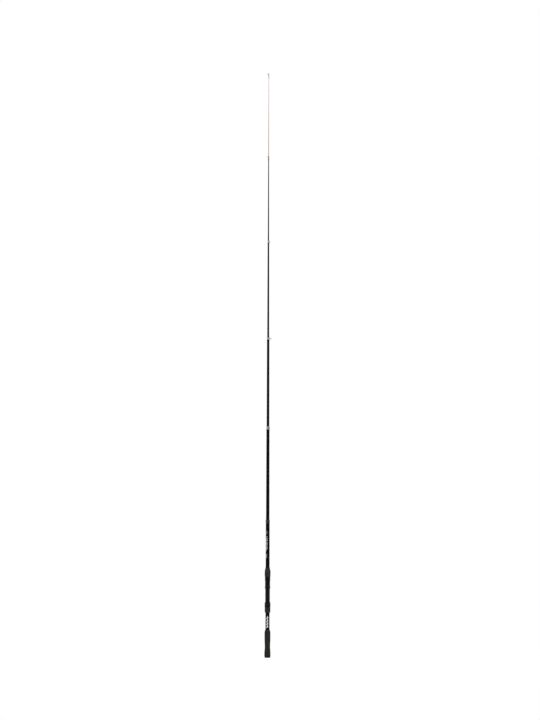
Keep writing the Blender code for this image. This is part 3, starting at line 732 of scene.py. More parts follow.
@dataclass(frozen=True)
class FoamFinish(Finish):
    """Turned closed-cell foam of a grip."""

    cell: float = 0.5 * MM  # size of a small pit
    depth: float = 0.12 * MM  # of the pits
    open_share: float = 0.7  # how deep the larger pits are, of the depth
    dust: float = 0.12
    stain: float = 11.0 * MM  # size of a patch that hands have darkened
    stained: float = 0.45  # how much of the light is left in a stain
    stain_share: float = 0.8  # how far a patch is stained at most

    def dress(self, wiring: Wiring, shader: Node) -> None:
        """Pitted, cloudy foam with painted shade in its pits, darker where hands have held it, with a
        little dust.

        Args:
            wiring: The material's nodes.
            shader: Its shader.
        """
        cells = wiring.effect(foam_cells(), Size=self.cell, Open=self.open_share).outputs
        stain = wiring.cloud(self.stain, CLOUD_DETAIL, high=self.stain_share)
        # the foam's colour: painted shade in the pits over a random cloudy tone
        clean = self.shaded(wiring, cells["Tone"])
        tone = dusted(wiring, wiring.mix(stain, clean, paint(self.colour, self.stained)), self.dust)
        low, high = self.roughness - self.drift, self.roughness + self.drift
        roughness = wiring.remap(cells["Tone"], 0.0, 1.0, low, high)
        wiring.coat(shader, tone, roughness, wiring.bump(cells["Height"], self.depth))


@dataclass(frozen=True)
class LacquerFinish(Finish):
    """Lacquer over a blank whose winding tape has left faint lines."""

    drift: float = 0.035
    tape: float = 6.5 * MM  # from one turn of the tape to the next
    tape_depth: float = 0.012 * MM
    tape_wander: float = 0.06  # how far the line between two turns strays, in pitches
    tape_line: float = 0.25  # how wide that line is, in pitches
    tape_shade: float = 0.6  # share of the colour's clouds that is left along it
    peel: float = 1.1 * MM  # size of the lacquer's waves
    peel_depth: float = 0.004 * MM
    cloud: float = 18.0 * MM
    dust: float = 0.04
    dust_size: float = 1.2 * MM

    def dress(self, wiring: Wiring, shader: Node) -> None:
        """Gloss that drifts a little, over faint wound lines.

        Args:
            wiring: The material's nodes.
            shader: Its shader.
        """
        wound = wiring.effect(wound_lines(), Pitch=self.tape, Wander=self.tape_wander, Width=self.tape_line)
        lines = wound.outputs["Height"]
        grain = self.grained(wiring, self.peel)
        shade = wiring.remap(lines, 0.0, 1.0, to_low=self.tape_shade)
        tone = self.shaded(wiring, wiring.math("MULTIPLY", wiring.cloud(self.cloud), shade))
        tone = dusted(wiring, tone, self.dust, self.dust_size)
        taped = wiring.bump(lines, self.tape_depth)
        wiring.coat(shader, tone, grain["Roughness"], wiring.bump(grain["Height"], self.peel_depth, taped))


@dataclass(frozen=True)
class MouldedFinish(Finish):
    """Moulded plastic or rubber."""

    drift: float = 0.07
    grain: float = 0.3 * MM
    depth: float = 0.01 * MM
    cloud: float = 7.0 * MM
    rubbed: float = 0.25  # how far an edge is rubbed at most
    pale: float = 3.0  # how much more light a rubbed edge gives
    dust: float = 0.1

    def dress(self, wiring: Wiring, shader: Node) -> None:
        """Fine grain, edges that have gone paler with use, and dust.

        Args:
            wiring: The material's nodes.
            shader: Its shader.
        """
        grain = self.grained(wiring, self.grain)
        wear = wiring.effect(edge_wear(), Amount=self.rubbed).outputs["Mask"]
        tone = self.shaded(wiring, wiring.cloud(self.cloud, CLOUD_DETAIL))
        tone = dusted(wiring, wiring.mix(wear, tone, paint(self.colour, self.pale)), self.dust)
        wiring.coat(shader, tone, grain["Roughness"], wiring.bump(grain["Height"], self.depth))


@dataclass(frozen=True)
class CoatedMetalFinish(Finish):
    """Metal under a thin black coat that rubs through on its edges."""

    drift: float = 0.05
    bare: Colour = (150, 150, 152)
    rubbed: float = 0.55  # how far an edge is rubbed at most
    wear_patch: float = 1.1 * MM
    grain: float = 0.25 * MM
    depth: float = 0.004 * MM
    cloud: float = 9.0 * MM
    dust: float = 0.05

    def dress(self, wiring: Wiring, shader: Node) -> None:
        """Satin coat, bright specks of bare metal on the edges, and dust.

        Args:
            wiring: The material's nodes.
            shader: Its shader.
        """
        grain = self.grained(wiring, self.grain)
        wear = wiring.effect(edge_wear(), Amount=self.rubbed, Patch=self.wear_patch).outputs["Mask"]
        tone = self.shaded(wiring, wiring.cloud(self.cloud))
        tone = dusted(wiring, wiring.mix(wear, tone, paint(self.bare)), self.dust)
        wiring.feed(shader, {"Metallic": wiring.remap(wear, 0.0, 1.0, self.metallic, 1.0)})
        wiring.coat(shader, tone, grain["Roughness"], wiring.bump(grain["Height"], self.depth))


@dataclass(frozen=True)
class SteelFinish(Finish):
    """Turned and polished steel."""

    lathe: float = 0.16 * MM  # from one line of the lathe to the next
    lathe_depth: float = 0.002 * MM
    lathe_wander: float = 1.4  # how far a line strays, in pitches
    lathe_line: float = 0.9  # how wide a line is, in pitches
    smudge: float = 2.5 * MM
    grain: float = 0.12 * MM

    def dress(self, wiring: Wiring, shader: Node) -> None:
        """Fine lines round the piece, smudges, and a colour that drifts a little.

        Args:
            wiring: The material's nodes.
            shader: Its shader.
        """
        wound = wiring.effect(
            wound_lines(), Pitch=self.lathe, Wander=self.lathe_wander, Width=self.lathe_line
        )
        lines = wound.outputs["Height"]
        grain = self.grained(wiring, self.grain)
        tone = self.shaded(wiring, wiring.cloud(self.smudge, CLOUD_DETAIL))
        wiring.coat(shader, tone, grain["Roughness"], wiring.bump(lines, self.lathe_depth))


@dataclass(frozen=True)
class CeramicFinish(Finish):
    """Dense polished ceramic."""

    drift: float = 0.04
    grain: float = 0.08 * MM
    depth: float = 0.001 * MM
    cloud: float = 1.2 * MM

    def dress(self, wiring: Wiring, shader: Node) -> None:
        """Even gloss with faint grinding marks.

        Args:
            wiring: The material's nodes.
            shader: Its shader.
        """
        grain = self.grained(wiring, self.grain)
        tone = self.shaded(wiring, wiring.cloud(self.cloud))
        wiring.coat(shader, tone, grain["Roughness"], wiring.bump(grain["Height"], self.depth))


@dataclass(frozen=True)
class WrapFinish(Finish):
    """Thread wound under clear resin."""

    thread: float = 0.22 * MM  # from one turn to the next
    thread_depth: float = 0.03 * MM
    thread_wander: float = 0.2  # how far the line between two turns strays, in pitches
    thread_line: float = 0.7  # how wide that line is, in pitches
    resin: float = 0.3  # weight of the clear coat
    resin_roughness: float = 0.06
    grain: float = 0.15 * MM

    def dress(self, wiring: Wiring, shader: Node) -> None:
        """Turns of thread with dark lines between them, seen through a smooth coat.

        Args:
            wiring: The material's nodes.
            shader: Its shader.
        """
        wiring.feed(shader, {"Coat Weight": self.resin, "Coat Roughness": self.resin_roughness})
        wound = wiring.effect(
            wound_lines(), Pitch=self.thread, Wander=self.thread_wander, Width=self.thread_line
        )
        lines = wound.outputs["Height"]
        grain = self.grained(wiring, self.grain)
        tone = self.shaded(wiring, lines)
        wiring.coat(shader, tone, grain["Roughness"], wiring.bump(lines, self.thread_depth))


@dataclass(frozen=True)
class InkFinish(Finish):
    """Printed ink with small chips down to the lacquer."""

    under: Colour = (19, 19, 20)
    chip: float = 0.9 * MM
    chipped: Pair = (0.64, 0.69)  # noise where a chip starts, and where it is bare
    grain: float = 0.2 * MM
    depth: float = 0.004 * MM

    def dress(self, wiring: Wiring, shader: Node) -> None:
        """Even ink, chipped and a little uneven.

        Args:
            wiring: The material's nodes.
            shader: Its shader.
        """
        chips = wiring.remap(wiring.noise(self.chip, detail=FINE_DETAIL), *self.chipped)
        grain = self.grained(wiring, self.grain)
        tone = wiring.mix(chips, self.shaded(wiring, grain["Height"]), paint(self.under))
        wiring.coat(shader, tone, grain["Roughness"], wiring.bump(grain["Height"], self.depth))


FINISHES: dict[Look, Finish] = {
    Look.FOAM: FoamFinish((50, 51, 47), roughness=0.9, gloss=0.1),
    Look.LIGHT_FOAM: FoamFinish((58, 59, 55), roughness=0.9, gloss=0.1),
    Look.BLACK_LACQUER: LacquerFinish((7, 7, 8), roughness=0.14, gloss=0.07, dust=0.02),
    Look.ORANGE_LACQUER: LacquerFinish(
        (178, 86, 22), roughness=0.2, gloss=0.3, spread=0.12, tape=3.0 * MM, dust=0.02
    ),
    Look.SEAT_PLASTIC: MouldedFinish((11, 11, 12), roughness=0.3, gloss=0.2),
    Look.HOOD_METAL: CoatedMetalFinish((12, 12, 13), roughness=0.32, gloss=0.13),
    Look.DARK_STEEL: SteelFinish((74, 74, 77), roughness=0.24, metallic=1.0),
    Look.BRIGHT_STEEL: SteelFinish((206, 206, 203), roughness=0.3, metallic=1.0, spread=0.1),
    Look.CERAMIC: CeramicFinish((17, 17, 18), roughness=0.12),
    Look.THREAD_WRAP: WrapFinish((12, 12, 13), roughness=0.5, gloss=0.1, spread=0.5),
    Look.RUBBER: MouldedFinish((24, 24, 24), roughness=0.78, gloss=0.15, depth=0.03 * MM, dust=0.2),
    Look.NYLON: MouldedFinish((34, 34, 35), roughness=0.45),
    Look.WHITE_INK: InkFinish((236, 236, 233), roughness=0.4, spread=0.06),
    Look.GREY_INK: InkFinish((126, 132, 127), roughness=0.4, spread=0.06),
}


@cache
def material_of(look: Look) -> bpy.types.Material:
    """The one material of a finish."""
    return FINISHES[look].make(f"{look.value}_finish")


# Tubes and collars


@dataclass(frozen=True)
class Tube:
    """One tapered section of the rod, from the foot that is held below to the end above."""

    node: str
    body: str
    sight: float  # drawn out of the section below, with its own collar
    low_radius: float  # where it leaves the section below
    top_radius: float
    hidden: float  # length held in the section below
    foot_wall: float  # none in the solid tip
    flare: float  # by which the foot is thicker than the taper gives
    above: "Tube | None"
    look: Look
    collar_lip: float = 0.6 * MM
    mouth_edge: float = 0.1 * MM
    bore_edge: float = 0.15 * MM
    foot_edge: float = 0.2 * MM
    sides: int = 96

    @property
    def taper(self) -> float:
        """How much the radius shrinks for each metre of height."""
        return (self.low_radius - self.top_radius) / self.sight

    @property
    def foot_radius(self) -> float:
        """Outer radius of the lower end."""
        return self.low_radius + self.taper * self.hidden + self.flare

    @property
    def mouth(self) -> float:
        """Bore of the upper end, which fits the section above."""
        return self.above.low_radius + FERRULE_GAP

    @property
    def top(self) -> float:
        """Height of the upper end, with its collar."""
        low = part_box(self.node)[0].z
        return low + self.hidden + self.sight - (SEAT_GAP if self.hidden == 0 else 0.0)

    def radius_at(self, height: float) -> float:
        """Outer radius of the part in sight at a height."""
        return self.top_radius + self.taper * (self.top - height)

    def build(self) -> None:
        """Build the lacquered tube, or the solid tip."""
        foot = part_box(self.node)[0].z
        end = self.top - foot
        if self.above is None:
            corners = [(0.0, end, 0.0), (self.top_radius, end, self.mouth_edge)]
        else:
            end -= self.collar_lip + GLUE_GAP
            fitted = self.top - self.above.hidden - foot
            corners = [
                (self.foot_radius - self.foot_wall, 0.0, self.bore_edge),
                (self.above.foot_radius + FERRULE_GAP, fitted, 0.0),
                (self.mouth, end, self.mouth_edge),
                (self.top_radius, end, self.mouth_edge),
            ]
        if self.hidden:
            corners.append((self.low_radius, self.hidden, 0.0))
        corners.append((self.foot_radius, 0.0, self.foot_edge))
        if self.above is None:
            corners.append((0.0, 0.0, 0.0))
        piece = Piece(f"{self.node}_lacquered")
        piece.turn(softened(corners), self.sides, raised(foot), closed=self.above is not None)
        piece.finish(self.look, self.body, self.node)


@dataclass(frozen=True)
class Collar:
    """Metal collar, beaded at both ends and lipped over the end of its tube."""

    tube: Tube
    height: float
    wall: float = 0.5 * MM
    bead: float = 0.2 * MM
    bead_height: float = 1.4 * MM
    bead_steps: int = 10
    edge: float = 0.08 * MM
    bore_edge: float = 0.1 * MM
    mouth_edge: float = 0.15 * MM
    sides: int = 96

    @property
    def bore(self) -> float:
        """Inner radius, which clears the tube at the collar's foot."""
        return self.tube.top_radius + GLUE_GAP + self.tube.taper * self.height

    @property
    def radius(self) -> float:
        """Outer radius between the beads."""
        return self.bore + self.wall

    def beaded(self, top: float) -> Corners:
        """Corners of a round bead.

        Args:
            top: Height of its upper end.

        Returns:
            Its corners from the top down, without both ends.
        """
        return [
            (self.radius + self.bead * math.sin(math.pi * share), top - self.bead_height * share, 0.0)
            for share in even_steps(1.0, self.bead_steps)[1:-1]
        ]

    def outline(self) -> Profile:
        """Outline of the collar above its own foot.

        Returns:
            Its points, of which the last joins the first.
        """
        ledge = self.height - self.tube.collar_lip
        corners = [
            (self.radius, self.height, self.edge),
            *self.beaded(self.height),
            (self.radius, self.height - self.bead_height, 0.0),
            (self.radius, self.bead_height, 0.0),
            *self.beaded(self.bead_height),
            (self.radius, 0.0, self.edge),
            (self.bore, 0.0, self.bore_edge),
            (self.bore, ledge, 0.0),
            (self.tube.mouth, ledge, self.bore_edge / 2),
            (self.tube.mouth, self.height, self.mouth_edge),
        ]
        return softened(corners)

    def build(self) -> None:
        """Build the bare collar on the end of the first section."""
        piece = Piece("section_1_end_collar_turned")
        piece.turn(self.outline(), self.sides, raised(self.tube.top - self.height))
        piece.finish(Look.DARK_STEEL, self.tube.body, "section_1_end_collar")


# Handle


@dataclass(frozen=True)
class ButtEnd:
    """Fluted screw cap with its hollow plug, the cushion on it, and the bush that it screws in."""

    cap_height: float = 8.0 * MM
    cap_radius: float = 13.7 * MM
    cap_round: float = 3.0 * MM
    flutes: int = 16
    flute_radius: float = 1.6 * MM
    flute_depth: float = 0.6 * MM
    flute_foot: float = 0.6 * MM  # how far the flutes run into the rounded foot
    flute_run: float = 1.4 * MM  # over which they get their depth
    flute_run_rings: int = 5
    flute_steps: int = 12
    round_steps: int = 10
    plug_radius: float = 6.2 * MM
    plug_length: float = 14.0 * MM
    plug_bore: float = 4.2 * MM
    plug_floor: float = 3.0 * MM
    relief: float = 0.6 * MM  # bare length under the thread
    pitch: float = 1.5 * MM
    thread_depth: float = 0.25 * MM
    thread_rings: int = 46
    edge: float = 0.4 * MM
    inner_round: float = 0.3  # rounding of the plain rings' inner edges, of their outer ones'
    bush_gap: float = 0.3 * MM
    sides: int = 64

    def wall(self) -> list[Contour]:
        """Shape the cap's outside.

        Returns:
            Its rings, from its foot up to the plug.
        """
        half_pitch = 180 / self.flutes  # degrees
        rim = Fluting(self.flutes, self.cap_radius, self.flute_radius, self.flute_depth, half_pitch)
        middle, fine = self.cap_radius - self.cap_round, MIDWAY * self.edge
        outline = [(0.0, 0.0), (middle / 2, 0.0)]
        outline += [
            (middle + self.cap_round * math.sin(angle), self.cap_round * (1 - math.cos(angle)))
            for angle in even_steps(math.pi / 2, self.round_steps)
        ]
        run = even_steps(self.flute_run, self.flute_run_rings)[1:]
        outline += [(self.cap_radius, self.cap_round + climb) for climb in run]
        outline += [
            (self.cap_radius, self.cap_height - self.edge),
            (self.cap_radius - fine, self.cap_height - fine),
            (self.cap_radius - self.edge, self.cap_height),
            (self.plug_radius + self.edge, self.cap_height),
        ]

        def ring(radius: float, height: float) -> Contour:
            """Flute a ring if it is on the rim and above the cap's rounded foot.

            Args:
                radius: Its radius.
                height: Its height.

            Returns:
                The ring.
            """
            start = self.cap_round - self.flute_foot
            on_rim = radius > self.cap_radius - 2 * self.edge
            share = smooth_step(height, start, start + self.flute_run) if on_rim else 0.0
            return lambda angle: (radius - share * rim.cut(angle), height)

        return [ring(radius, height) for radius, height in outline]

    def plug(self) -> list[Contour]:
        """Shape the threaded plug and the hollow in it.

        Returns:
            The rings up its outside and down its inside.
        """
        top = self.cap_height + self.plug_length
        floor = self.cap_height + self.plug_floor
        start, end = self.cap_height + self.relief, top - self.edge

        def ring(height: float) -> Contour:
            """Shape a ring of the thread, which fades out at both ends.

            Args:
                height: Its height.

            Returns:
                The ring.
            """
            fade = smooth_step(height - start, 0.0, self.pitch) * smooth_step(end - height, 0.0, self.pitch)
            rise = self.thread_depth * fade
            core = self.plug_radius - self.thread_depth
            return lambda angle: (core + rise * thread_ridge(angle, height, self.pitch), height)

        climb = (end - start) / self.thread_rings
        rings = [ring(start + climb * step) for step in range(self.thread_rings + 1)]
        outline = [
            (self.plug_radius - self.edge, top),
            (self.plug_bore + MIDWAY * self.edge, top),
            (self.plug_bore, top - MIDWAY * self.edge),
            (self.plug_bore, floor + self.edge),
            (self.plug_bore - self.edge, floor),
            (0.0, floor),
        ]
        return rings + [fixed_ring(*point) for point in outline]

    def plain_ring(self, name: str, node: str, inner: float, outer: float) -> Piece:
        """Start a plain ring with rounded edges.

        Args:
            name: The piece's name.
            node: The node that gives its foot and its height.
            inner: Its inner radius.
            outer: Its outer radius.

        Returns:
            The piece.
        """
        low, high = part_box(node)
        height, fine = high.z - low.z, self.inner_round * self.edge
        corners = [(inner, 0.0, fine), (inner, height, fine)]
        corners += [(outer, height, self.edge), (outer, 0.0, self.edge)]
        piece = Piece(name)
        piece.turn(softened(corners), self.sides, raised(low.z))
        return piece

    def build(self) -> None:
        """Build the cap, the cushion and the bush."""
        cap = Piece("butt_cap_moulded")
        rings = self.wall() + self.plug()
        cap.wrap(rings, self.flutes * self.flute_steps, Matrix.Identity(4), closed=False)
        cap.finish(Look.RUBBER, "butt_cap_body", "butt_cap")

        outer = self.plug_radius - self.edge
        cushion = self.plain_ring("butt_cushion_disc", "butt_cushion", self.plug_bore, outer)
        cushion.finish(Look.RUBBER, "butt_cushion_body", "butt_cushion")

        inner, outer = self.plug_radius + self.bush_gap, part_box("butt_bush")[1].x
        bush = self.plain_ring("butt_bush_moulded", "butt_bush", inner, outer)
        bush.finish(Look.NYLON, "handle", "butt_bush")


@dataclass(frozen=True)
class Grips:
    """The three foam grips, whose bores follow the butt blank."""

    blank: Tube
    butt_radius: float = 14.3 * MM
    butt_band: float = 7.0 * MM
    waist_radius: float = 12.4 * MM
    waist_height: float = 46.0 * MM
    swell_radius: float = 13.6 * MM
    swell_length: float = 30.0 * MM
    rear_taper: float = 12.0 * MM
    end_radius: float = 13.1 * MM
    end_taper: float = 7.0 * MM
    fore_radius: float = 13.5 * MM
    fore_taper: float = 20.0 * MM
    run_out: float = 1.0 * MM  # how thick the foam is where it ends on the blank
    edge: float = 0.8 * MM
    bore_edge: float = 0.1 * MM
    steps: int = 18
    sides: int = 96

    def sleeve(self, node: str, look: Look, outline: Callable[[float, float], Corners]) -> None:
        """Build one grip.

        Args:
            node: The node that it stands for.
            look: Its foam.
            outline: Corners of its outer side from the top down, by its length and the
                radius of the blank's end of the taper.
        """
        low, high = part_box(node)
        length = high.z - low.z
        tapered = high.z if node != "seat_end_grip" else low.z
        corners = outline(length, self.blank.radius_at(tapered) + GLUE_GAP + self.run_out)
        corners.append((self.blank.radius_at(low.z) + GLUE_GAP, 0.0, self.bore_edge))
        corners.append((self.blank.radius_at(high.z) + GLUE_GAP, length, self.bore_edge))
        piece = Piece(f"{node}_turned_foam")
        piece.turn(softened(corners), self.sides, raised(low.z))
        piece.finish(look, "handle", node)

    def flowing(self, stations: Sequence[Pair]) -> Corners:
        """Corners along a smooth outline through stations."""
        return [(radius, height, 0.0) for radius, height in eased(stations, self.steps)]

    def rear(self, length: float, run_out: float) -> Corners:
        """Outer side of the rear grip: taper, swell, waist and wide butt.

        Args:
            length: The grip's length.
            run_out: Its radius at the end of the taper.

        Returns:
            Its corners from the top down.
        """
        swell_top = length - self.rear_taper
        stations = [
            (run_out, length),
            (self.swell_radius, swell_top),
            (self.swell_radius, swell_top - self.swell_length),
            (self.waist_radius, self.waist_height),
            (self.butt_radius, self.butt_band),
        ]
        return [*self.flowing(stations), (self.butt_radius, 0.0, self.edge)]

    def end(self, length: float, run_out: float) -> Corners:
        """Outer side of the short ring below the seat, which narrows downwards."""
        stations = [(self.end_radius, self.end_taper), (run_out, 0.0)]
        return [(self.end_radius, length, self.edge), *self.flowing(stations)]

    def fore(self, length: float, run_out: float) -> Corners:
        """Outer side of the foregrip, with its long rounded taper."""
        stations = [(run_out, length), (self.fore_radius, length - self.fore_taper)]
        return [*self.flowing(stations), (self.fore_radius, 0.0, self.edge)]

    def build(self) -> None:
        """Build the three grips."""
        self.sleeve("rear_grip", Look.FOAM, self.rear)
        self.sleeve("seat_end_grip", Look.FOAM, self.end)
        self.sleeve("foregrip", Look.LIGHT_FOAM, self.fore)


@dataclass(frozen=True)
class HoodShell:
    """A hood that stands on its mouth: a tube that bulges in front over a pocket for the reel's foot."""

    length: float
    bore: Callable[[float], float]  # radius of the tube's bore, by angle
    nose: float  # length of the bulge's rounded end
    middle: float = 7.75 * MM  # from the rod's axis to the middle of pocket and bulge
    pocket_radius: float = 7.7 * MM
    bulge_radius: float = 8.8 * MM
    depth: float = 9.0 * MM  # of their straight part
    pocket_nose: float = 5.0 * MM
    pocket_rings: int = 14
    edge: float = 0.4 * MM  # how far the tube's mouth stays behind the pocket's
    thin_edge: float = 0.15 * MM
    lead_end: float = 4.0  # height where the bulge's rings stop leading the tube's, in edges
    lag_end: float = 3.0  # height where the bore's rings stop lagging the pocket's, in edges
    blend: float = 0.8 * MM  # how far the bulge runs into the tube that it stands on
    take_over: Pair = (-0.2 * MM, 0.6 * MM)  # how far it is past the tube meanwhile

    def proud(self, front: float, tube: float) -> float:
        """Share from 0 to 1 that bulge or pocket has taken over from the tube."""
        return smooth_step(front - tube, *self.take_over)

    def outside(self, radius: float, height: float, inset: float = 0.0) -> Contour:
        """One ring of the outside.

        Args:
            radius: Radius of the tube there, without the bulge.
            height: Height of the ring above the mouth.
            inset: How far the ring is moved in.

        Returns:
            The ring.
        """
        lead = self.edge * (1 - smooth_step(height, self.edge, self.lead_end * self.edge))
        bulge = round_nosed(self.bulge_radius, self.depth, self.nose, height)

        def point(angle: float) -> Pair:
            """Find a point of the ring.

            Args:
                angle: Angle round the rod.

            Returns:
                Its radius and height.
            """
            front = off_axis(angle, self.middle, bulge)
            level = height - lead * self.proud(front, radius)
            return soft_max(radius, front, self.blend) - inset, max(level, 0.0)

        return point

    def inside(self, height: float, inset: float = 0.0) -> Contour:
        """One ring of the inside.

        Args:
            height: Height of the ring above the mouth.
            inset: How far the ring is moved out.

        Returns:
            The ring.
        """
        lag = self.edge * (1 - smooth_step(height, 0.0, self.lag_end * self.edge))
        pocket = round_nosed(self.pocket_radius, self.depth, self.pocket_nose, height)

        def point(angle: float) -> Pair:
            """Find a point of the ring.

            Args:
                angle: Angle round the rod.

            Returns:
                Its radius and height.
            """
            front = off_axis(angle, self.middle, pocket)
            tube = self.bore(angle)
            level = height + lag * (1 - self.proud(front, tube))
            return soft_max(tube, front, self.blend / 2) + inset, level

        return point

    def rings(self, outer: Profile) -> list[Contour]:
        """Rings up the outside and down the inside.

        Args:
            outer: Radius and height of the tube without its bulge, from the mouth up.

        Returns:
            The rings, of which the last joins the first.
        """
        fine = self.thin_edge
        mouth, top = outer[0][0], outer[-1][0]
        rings = [self.outside(mouth, self.edge, fine)]
        rings.append(self.outside(mouth, self.edge + MIDWAY * fine, MIDWAY * fine))
        rings += [self.outside(radius, height) for radius, height in outer]
        rings += [self.outside(top - fine, self.length), self.inside(self.length, fine)]
        middle = (self.length + self.depth + self.pocket_nose) / 2
        down = [self.length - fine, self.length - 2 * self.edge, middle]
        quarter = even_steps(math.pi / 2, self.pocket_rings)
        down += [self.depth + self.pocket_nose * math.cos(angle) for angle in quarter]
        down += [self.depth / 2, self.lag_end * self.edge, self.edge, fine]
        rings += [self.inside(height) for height in down]
        rings.append(self.inside(0.0, fine))
        return rings


@dataclass(frozen=True)
class ReelSeat:
    """The seat's barrel with its bed, the fixed hood, the sliding hood and the lock nut."""

    blank: Tube
    barrel_radius: float = 10.85 * MM
    bed_flat: float = 10.25 * MM  # how far in front of the axis the bed is
    bed_step: float = 0.15 * MM
    pitch: float = 2.0 * MM
    thread_depth: float = 0.22 * MM
    thread_length: float = 46.0 * MM
    thread_rings: int = 6  # in each turn
    hood_wall: float = 0.55 * MM  # at the fixed hood's mouth
    fixed_radius: float = 13.6 * MM
    fixed_flare: float = 8.0 * MM
    flare_steps: int = 12
    fixed_nose: float = 8.0 * MM
    fixed_last_ring: float = 2.5  # how far its last ring is from its foot, in edges
    key_flat: float = 10.55 * MM
    sleeve_bore: float = 11.15 * MM
    sleeve_radius: float = 11.75 * MM
    lip_radius: float = 12.55 * MM
    lip_length: float = 12.0 * MM
    lip_middle: float = 0.4  # height of the middle of the lip's rounded end, in edges
    sliding_nose: float = 13.0 * MM
    nut_radius: float = 12.45 * MM
    nut_rim: float = 2.6 * MM
    flutes: int = 30
    flute_radius: float = 0.95 * MM
    flute_depth: float = 0.5 * MM
    flute_end: float = 0.8 * MM  # length of a flute's rounded end
    flute_end_rings: int = 6
    flute_steps: int = 12
    edge: float = 0.4 * MM
    thin_edge: float = 0.15 * MM
    ring_step: float = 1.6 * MM
    hair: float = 0.01 * MM  # between the two edges of a step
    sides: int = 144

    def climbing(self, radius: float, low: float, high: float) -> Profile:
        """A straight part of an outline, in steps of which none is long."""
        count = max(round((high - low) / self.ring_step), 1)
        return [(radius, low + climb) for climb in even_steps(high - low, count)]

    def barrel(self) -> None:
        """Build the barrel: flat in front, a bed between the hoods, threaded under the nut."""
        low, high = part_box("reel_seat_barrel")
        bed_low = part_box("fixed_hood")[1].z + SEAT_GAP
        bed_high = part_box("sliding_hood")[0].z - SEAT_GAP
        start, end = high.z - self.thread_length, high.z - self.edge

        def ring(height: float, inset: float = 0.0) -> Contour:
            """Shape a ring of the barrel's outside.

            Args:
                height: Its height.
                inset: How far it is moved in.

            Returns:
                The ring.
            """
            above, below = height - start, high.z - height
            fade = smooth_step(above, 0.0, self.pitch) * smooth_step(below, 0.0, self.pitch)
            depth = self.thread_depth * fade
            flat = self.bed_flat if bed_low < height < bed_high else self.bed_flat - self.bed_step

            def point(angle: float) -> Pair:
                """The ring's point at an angle."""
                radius = self.barrel_radius - inset - depth * (1 - thread_ridge(angle, height, self.pitch))
                return flattened(angle, radius, flat - inset, self.thin_edge), height

            return point

        heights = [low.z + self.edge]
        for step in (bed_low, bed_high):
            heights += [step - 2 * self.edge, step - self.hair, step + self.hair, step + 2 * self.edge]
        count = round((end - start) / self.pitch * self.thread_rings)
        heights += [start + climb for climb in even_steps(end - start, count)]
        contours = [ring(low.z, self.edge / 2), *map(ring, heights), ring(high.z, self.edge)]
        bore = [(self.blank.radius_at(height) + GLUE_GAP, height) for height in (high.z, low.z)]
        contours += [fixed_ring(*point) for point in bore]
        piece = Piece("reel_seat_barrel_threaded")
        piece.wrap(contours, self.sides, Matrix.Identity(4))
        piece.finish(Look.SEAT_PLASTIC, "handle", "reel_seat_barrel")

    def fixed_hood(self) -> None:
        """Build the hood at the foot of the seat, whose pocket opens upwards."""
        low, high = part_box("fixed_hood")
        length = high.z - low.z
        bore = self.barrel_radius + GLUE_GAP
        mouth = (bore + self.hood_wall, self.edge + self.thin_edge)
        outer = eased([mouth, (self.fixed_radius, self.fixed_flare)], self.flare_steps)
        fine, last = MIDWAY * self.edge, length - self.fixed_last_ring * self.edge
        outer += self.climbing(self.fixed_radius, self.fixed_flare, last)[1:]
        outer += [(self.fixed_radius, length - self.edge), (self.fixed_radius - fine, length - fine)]
        shell = HoodShell(length, lambda angle: bore, self.fixed_nose)
        upside_down = raised(high.z) @ Matrix.Diagonal((1, 1, -1, 1))
        piece = Piece("fixed_hood_coated")
        piece.wrap(shell.rings(outer), self.sides, upside_down)
        piece.finish(Look.HOOD_METAL, "handle", "fixed_hood")

    def keyed_bore(self, angle: float) -> float:
        """Radius of the sliding hood's bore, which has a flat in front."""
        return flattened(angle, self.sleeve_bore, self.key_flat, self.thin_edge)

    def sliding_hood(self) -> None:
        """Build the hood that the nut drives, whose pocket opens downwards."""
        low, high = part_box("sliding_hood")
        length = high.z - low.z
        lip, sleeve = self.lip_radius, self.sleeve_radius
        lip_end, sleeve_start = self.lip_length - self.edge, self.lip_length + self.edge
        outer = [(lip - self.edge / 2, self.edge + self.thin_edge)]
        outer += self.climbing(lip, 2 * self.edge, lip_end)
        outer += [(lip - self.edge / 4, lip_end + self.lip_middle * self.edge)]
        outer += [(sleeve + self.edge / 4, sleeve_start - MIDWAY * self.edge)]
        outer += self.climbing(sleeve, sleeve_start, length - 2 * self.edge)
        outer += [(sleeve, length - self.thin_edge)]
        shell = HoodShell(length, self.keyed_bore, self.sliding_nose)
        piece = Piece("sliding_hood_coated")
        piece.wrap(shell.rings(outer), self.sides, raised(low.z))
        piece.finish(Look.HOOD_METAL, "sliding_hood_body", "sliding_hood")

    def lock_nut(self) -> None:
        """Build the fluted nut."""
        low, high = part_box("lock_nut")
        length = high.z - low.z
        rim = Fluting(self.flutes, self.nut_radius, self.flute_radius, self.flute_depth)
        fine = MIDWAY * self.edge
        lower = [(self.nut_radius - self.edge, 0.0), (self.nut_radius - fine, fine)]
        lower += [(self.nut_radius, self.edge), (self.nut_radius, 2 * self.edge)]
        climb = self.flute_end / (self.flute_end_rings - 1)
        lower += [(self.nut_radius, self.nut_rim + climb * step) for step in range(self.flute_end_rings)]
        outline = lower + [(radius, length - height) for radius, height in reversed(lower)]

        def ring(radius: float, height: float) -> Contour:
            """Shape a ring of the nut's outside, fluted between its rims.

            Args:
                radius: Its radius.
                height: Its height above the nut's foot.

            Returns:
                The ring.
            """
            inwards = (min(height, length - height) - self.nut_rim) / self.flute_end
            share = math.sqrt(1 - (1 - min(max(inwards, 0.0), 1.0)) ** 2)
            return lambda angle: (radius - share * rim.cut(angle), height)

        upper = [(self.sleeve_bore + self.edge, length), (self.sleeve_bore, length - self.edge)]
        bore = upper + [(radius, length - height) for radius, height in reversed(upper)]
        contours = [ring(*point) for point in outline] + [fixed_ring(*point) for point in bore]
        piece = Piece("lock_nut_fluted")
        piece.wrap(contours, self.flutes * self.flute_steps, raised(low.z))
        piece.finish(Look.HOOD_METAL, "lock_nut_body", "lock_nut")

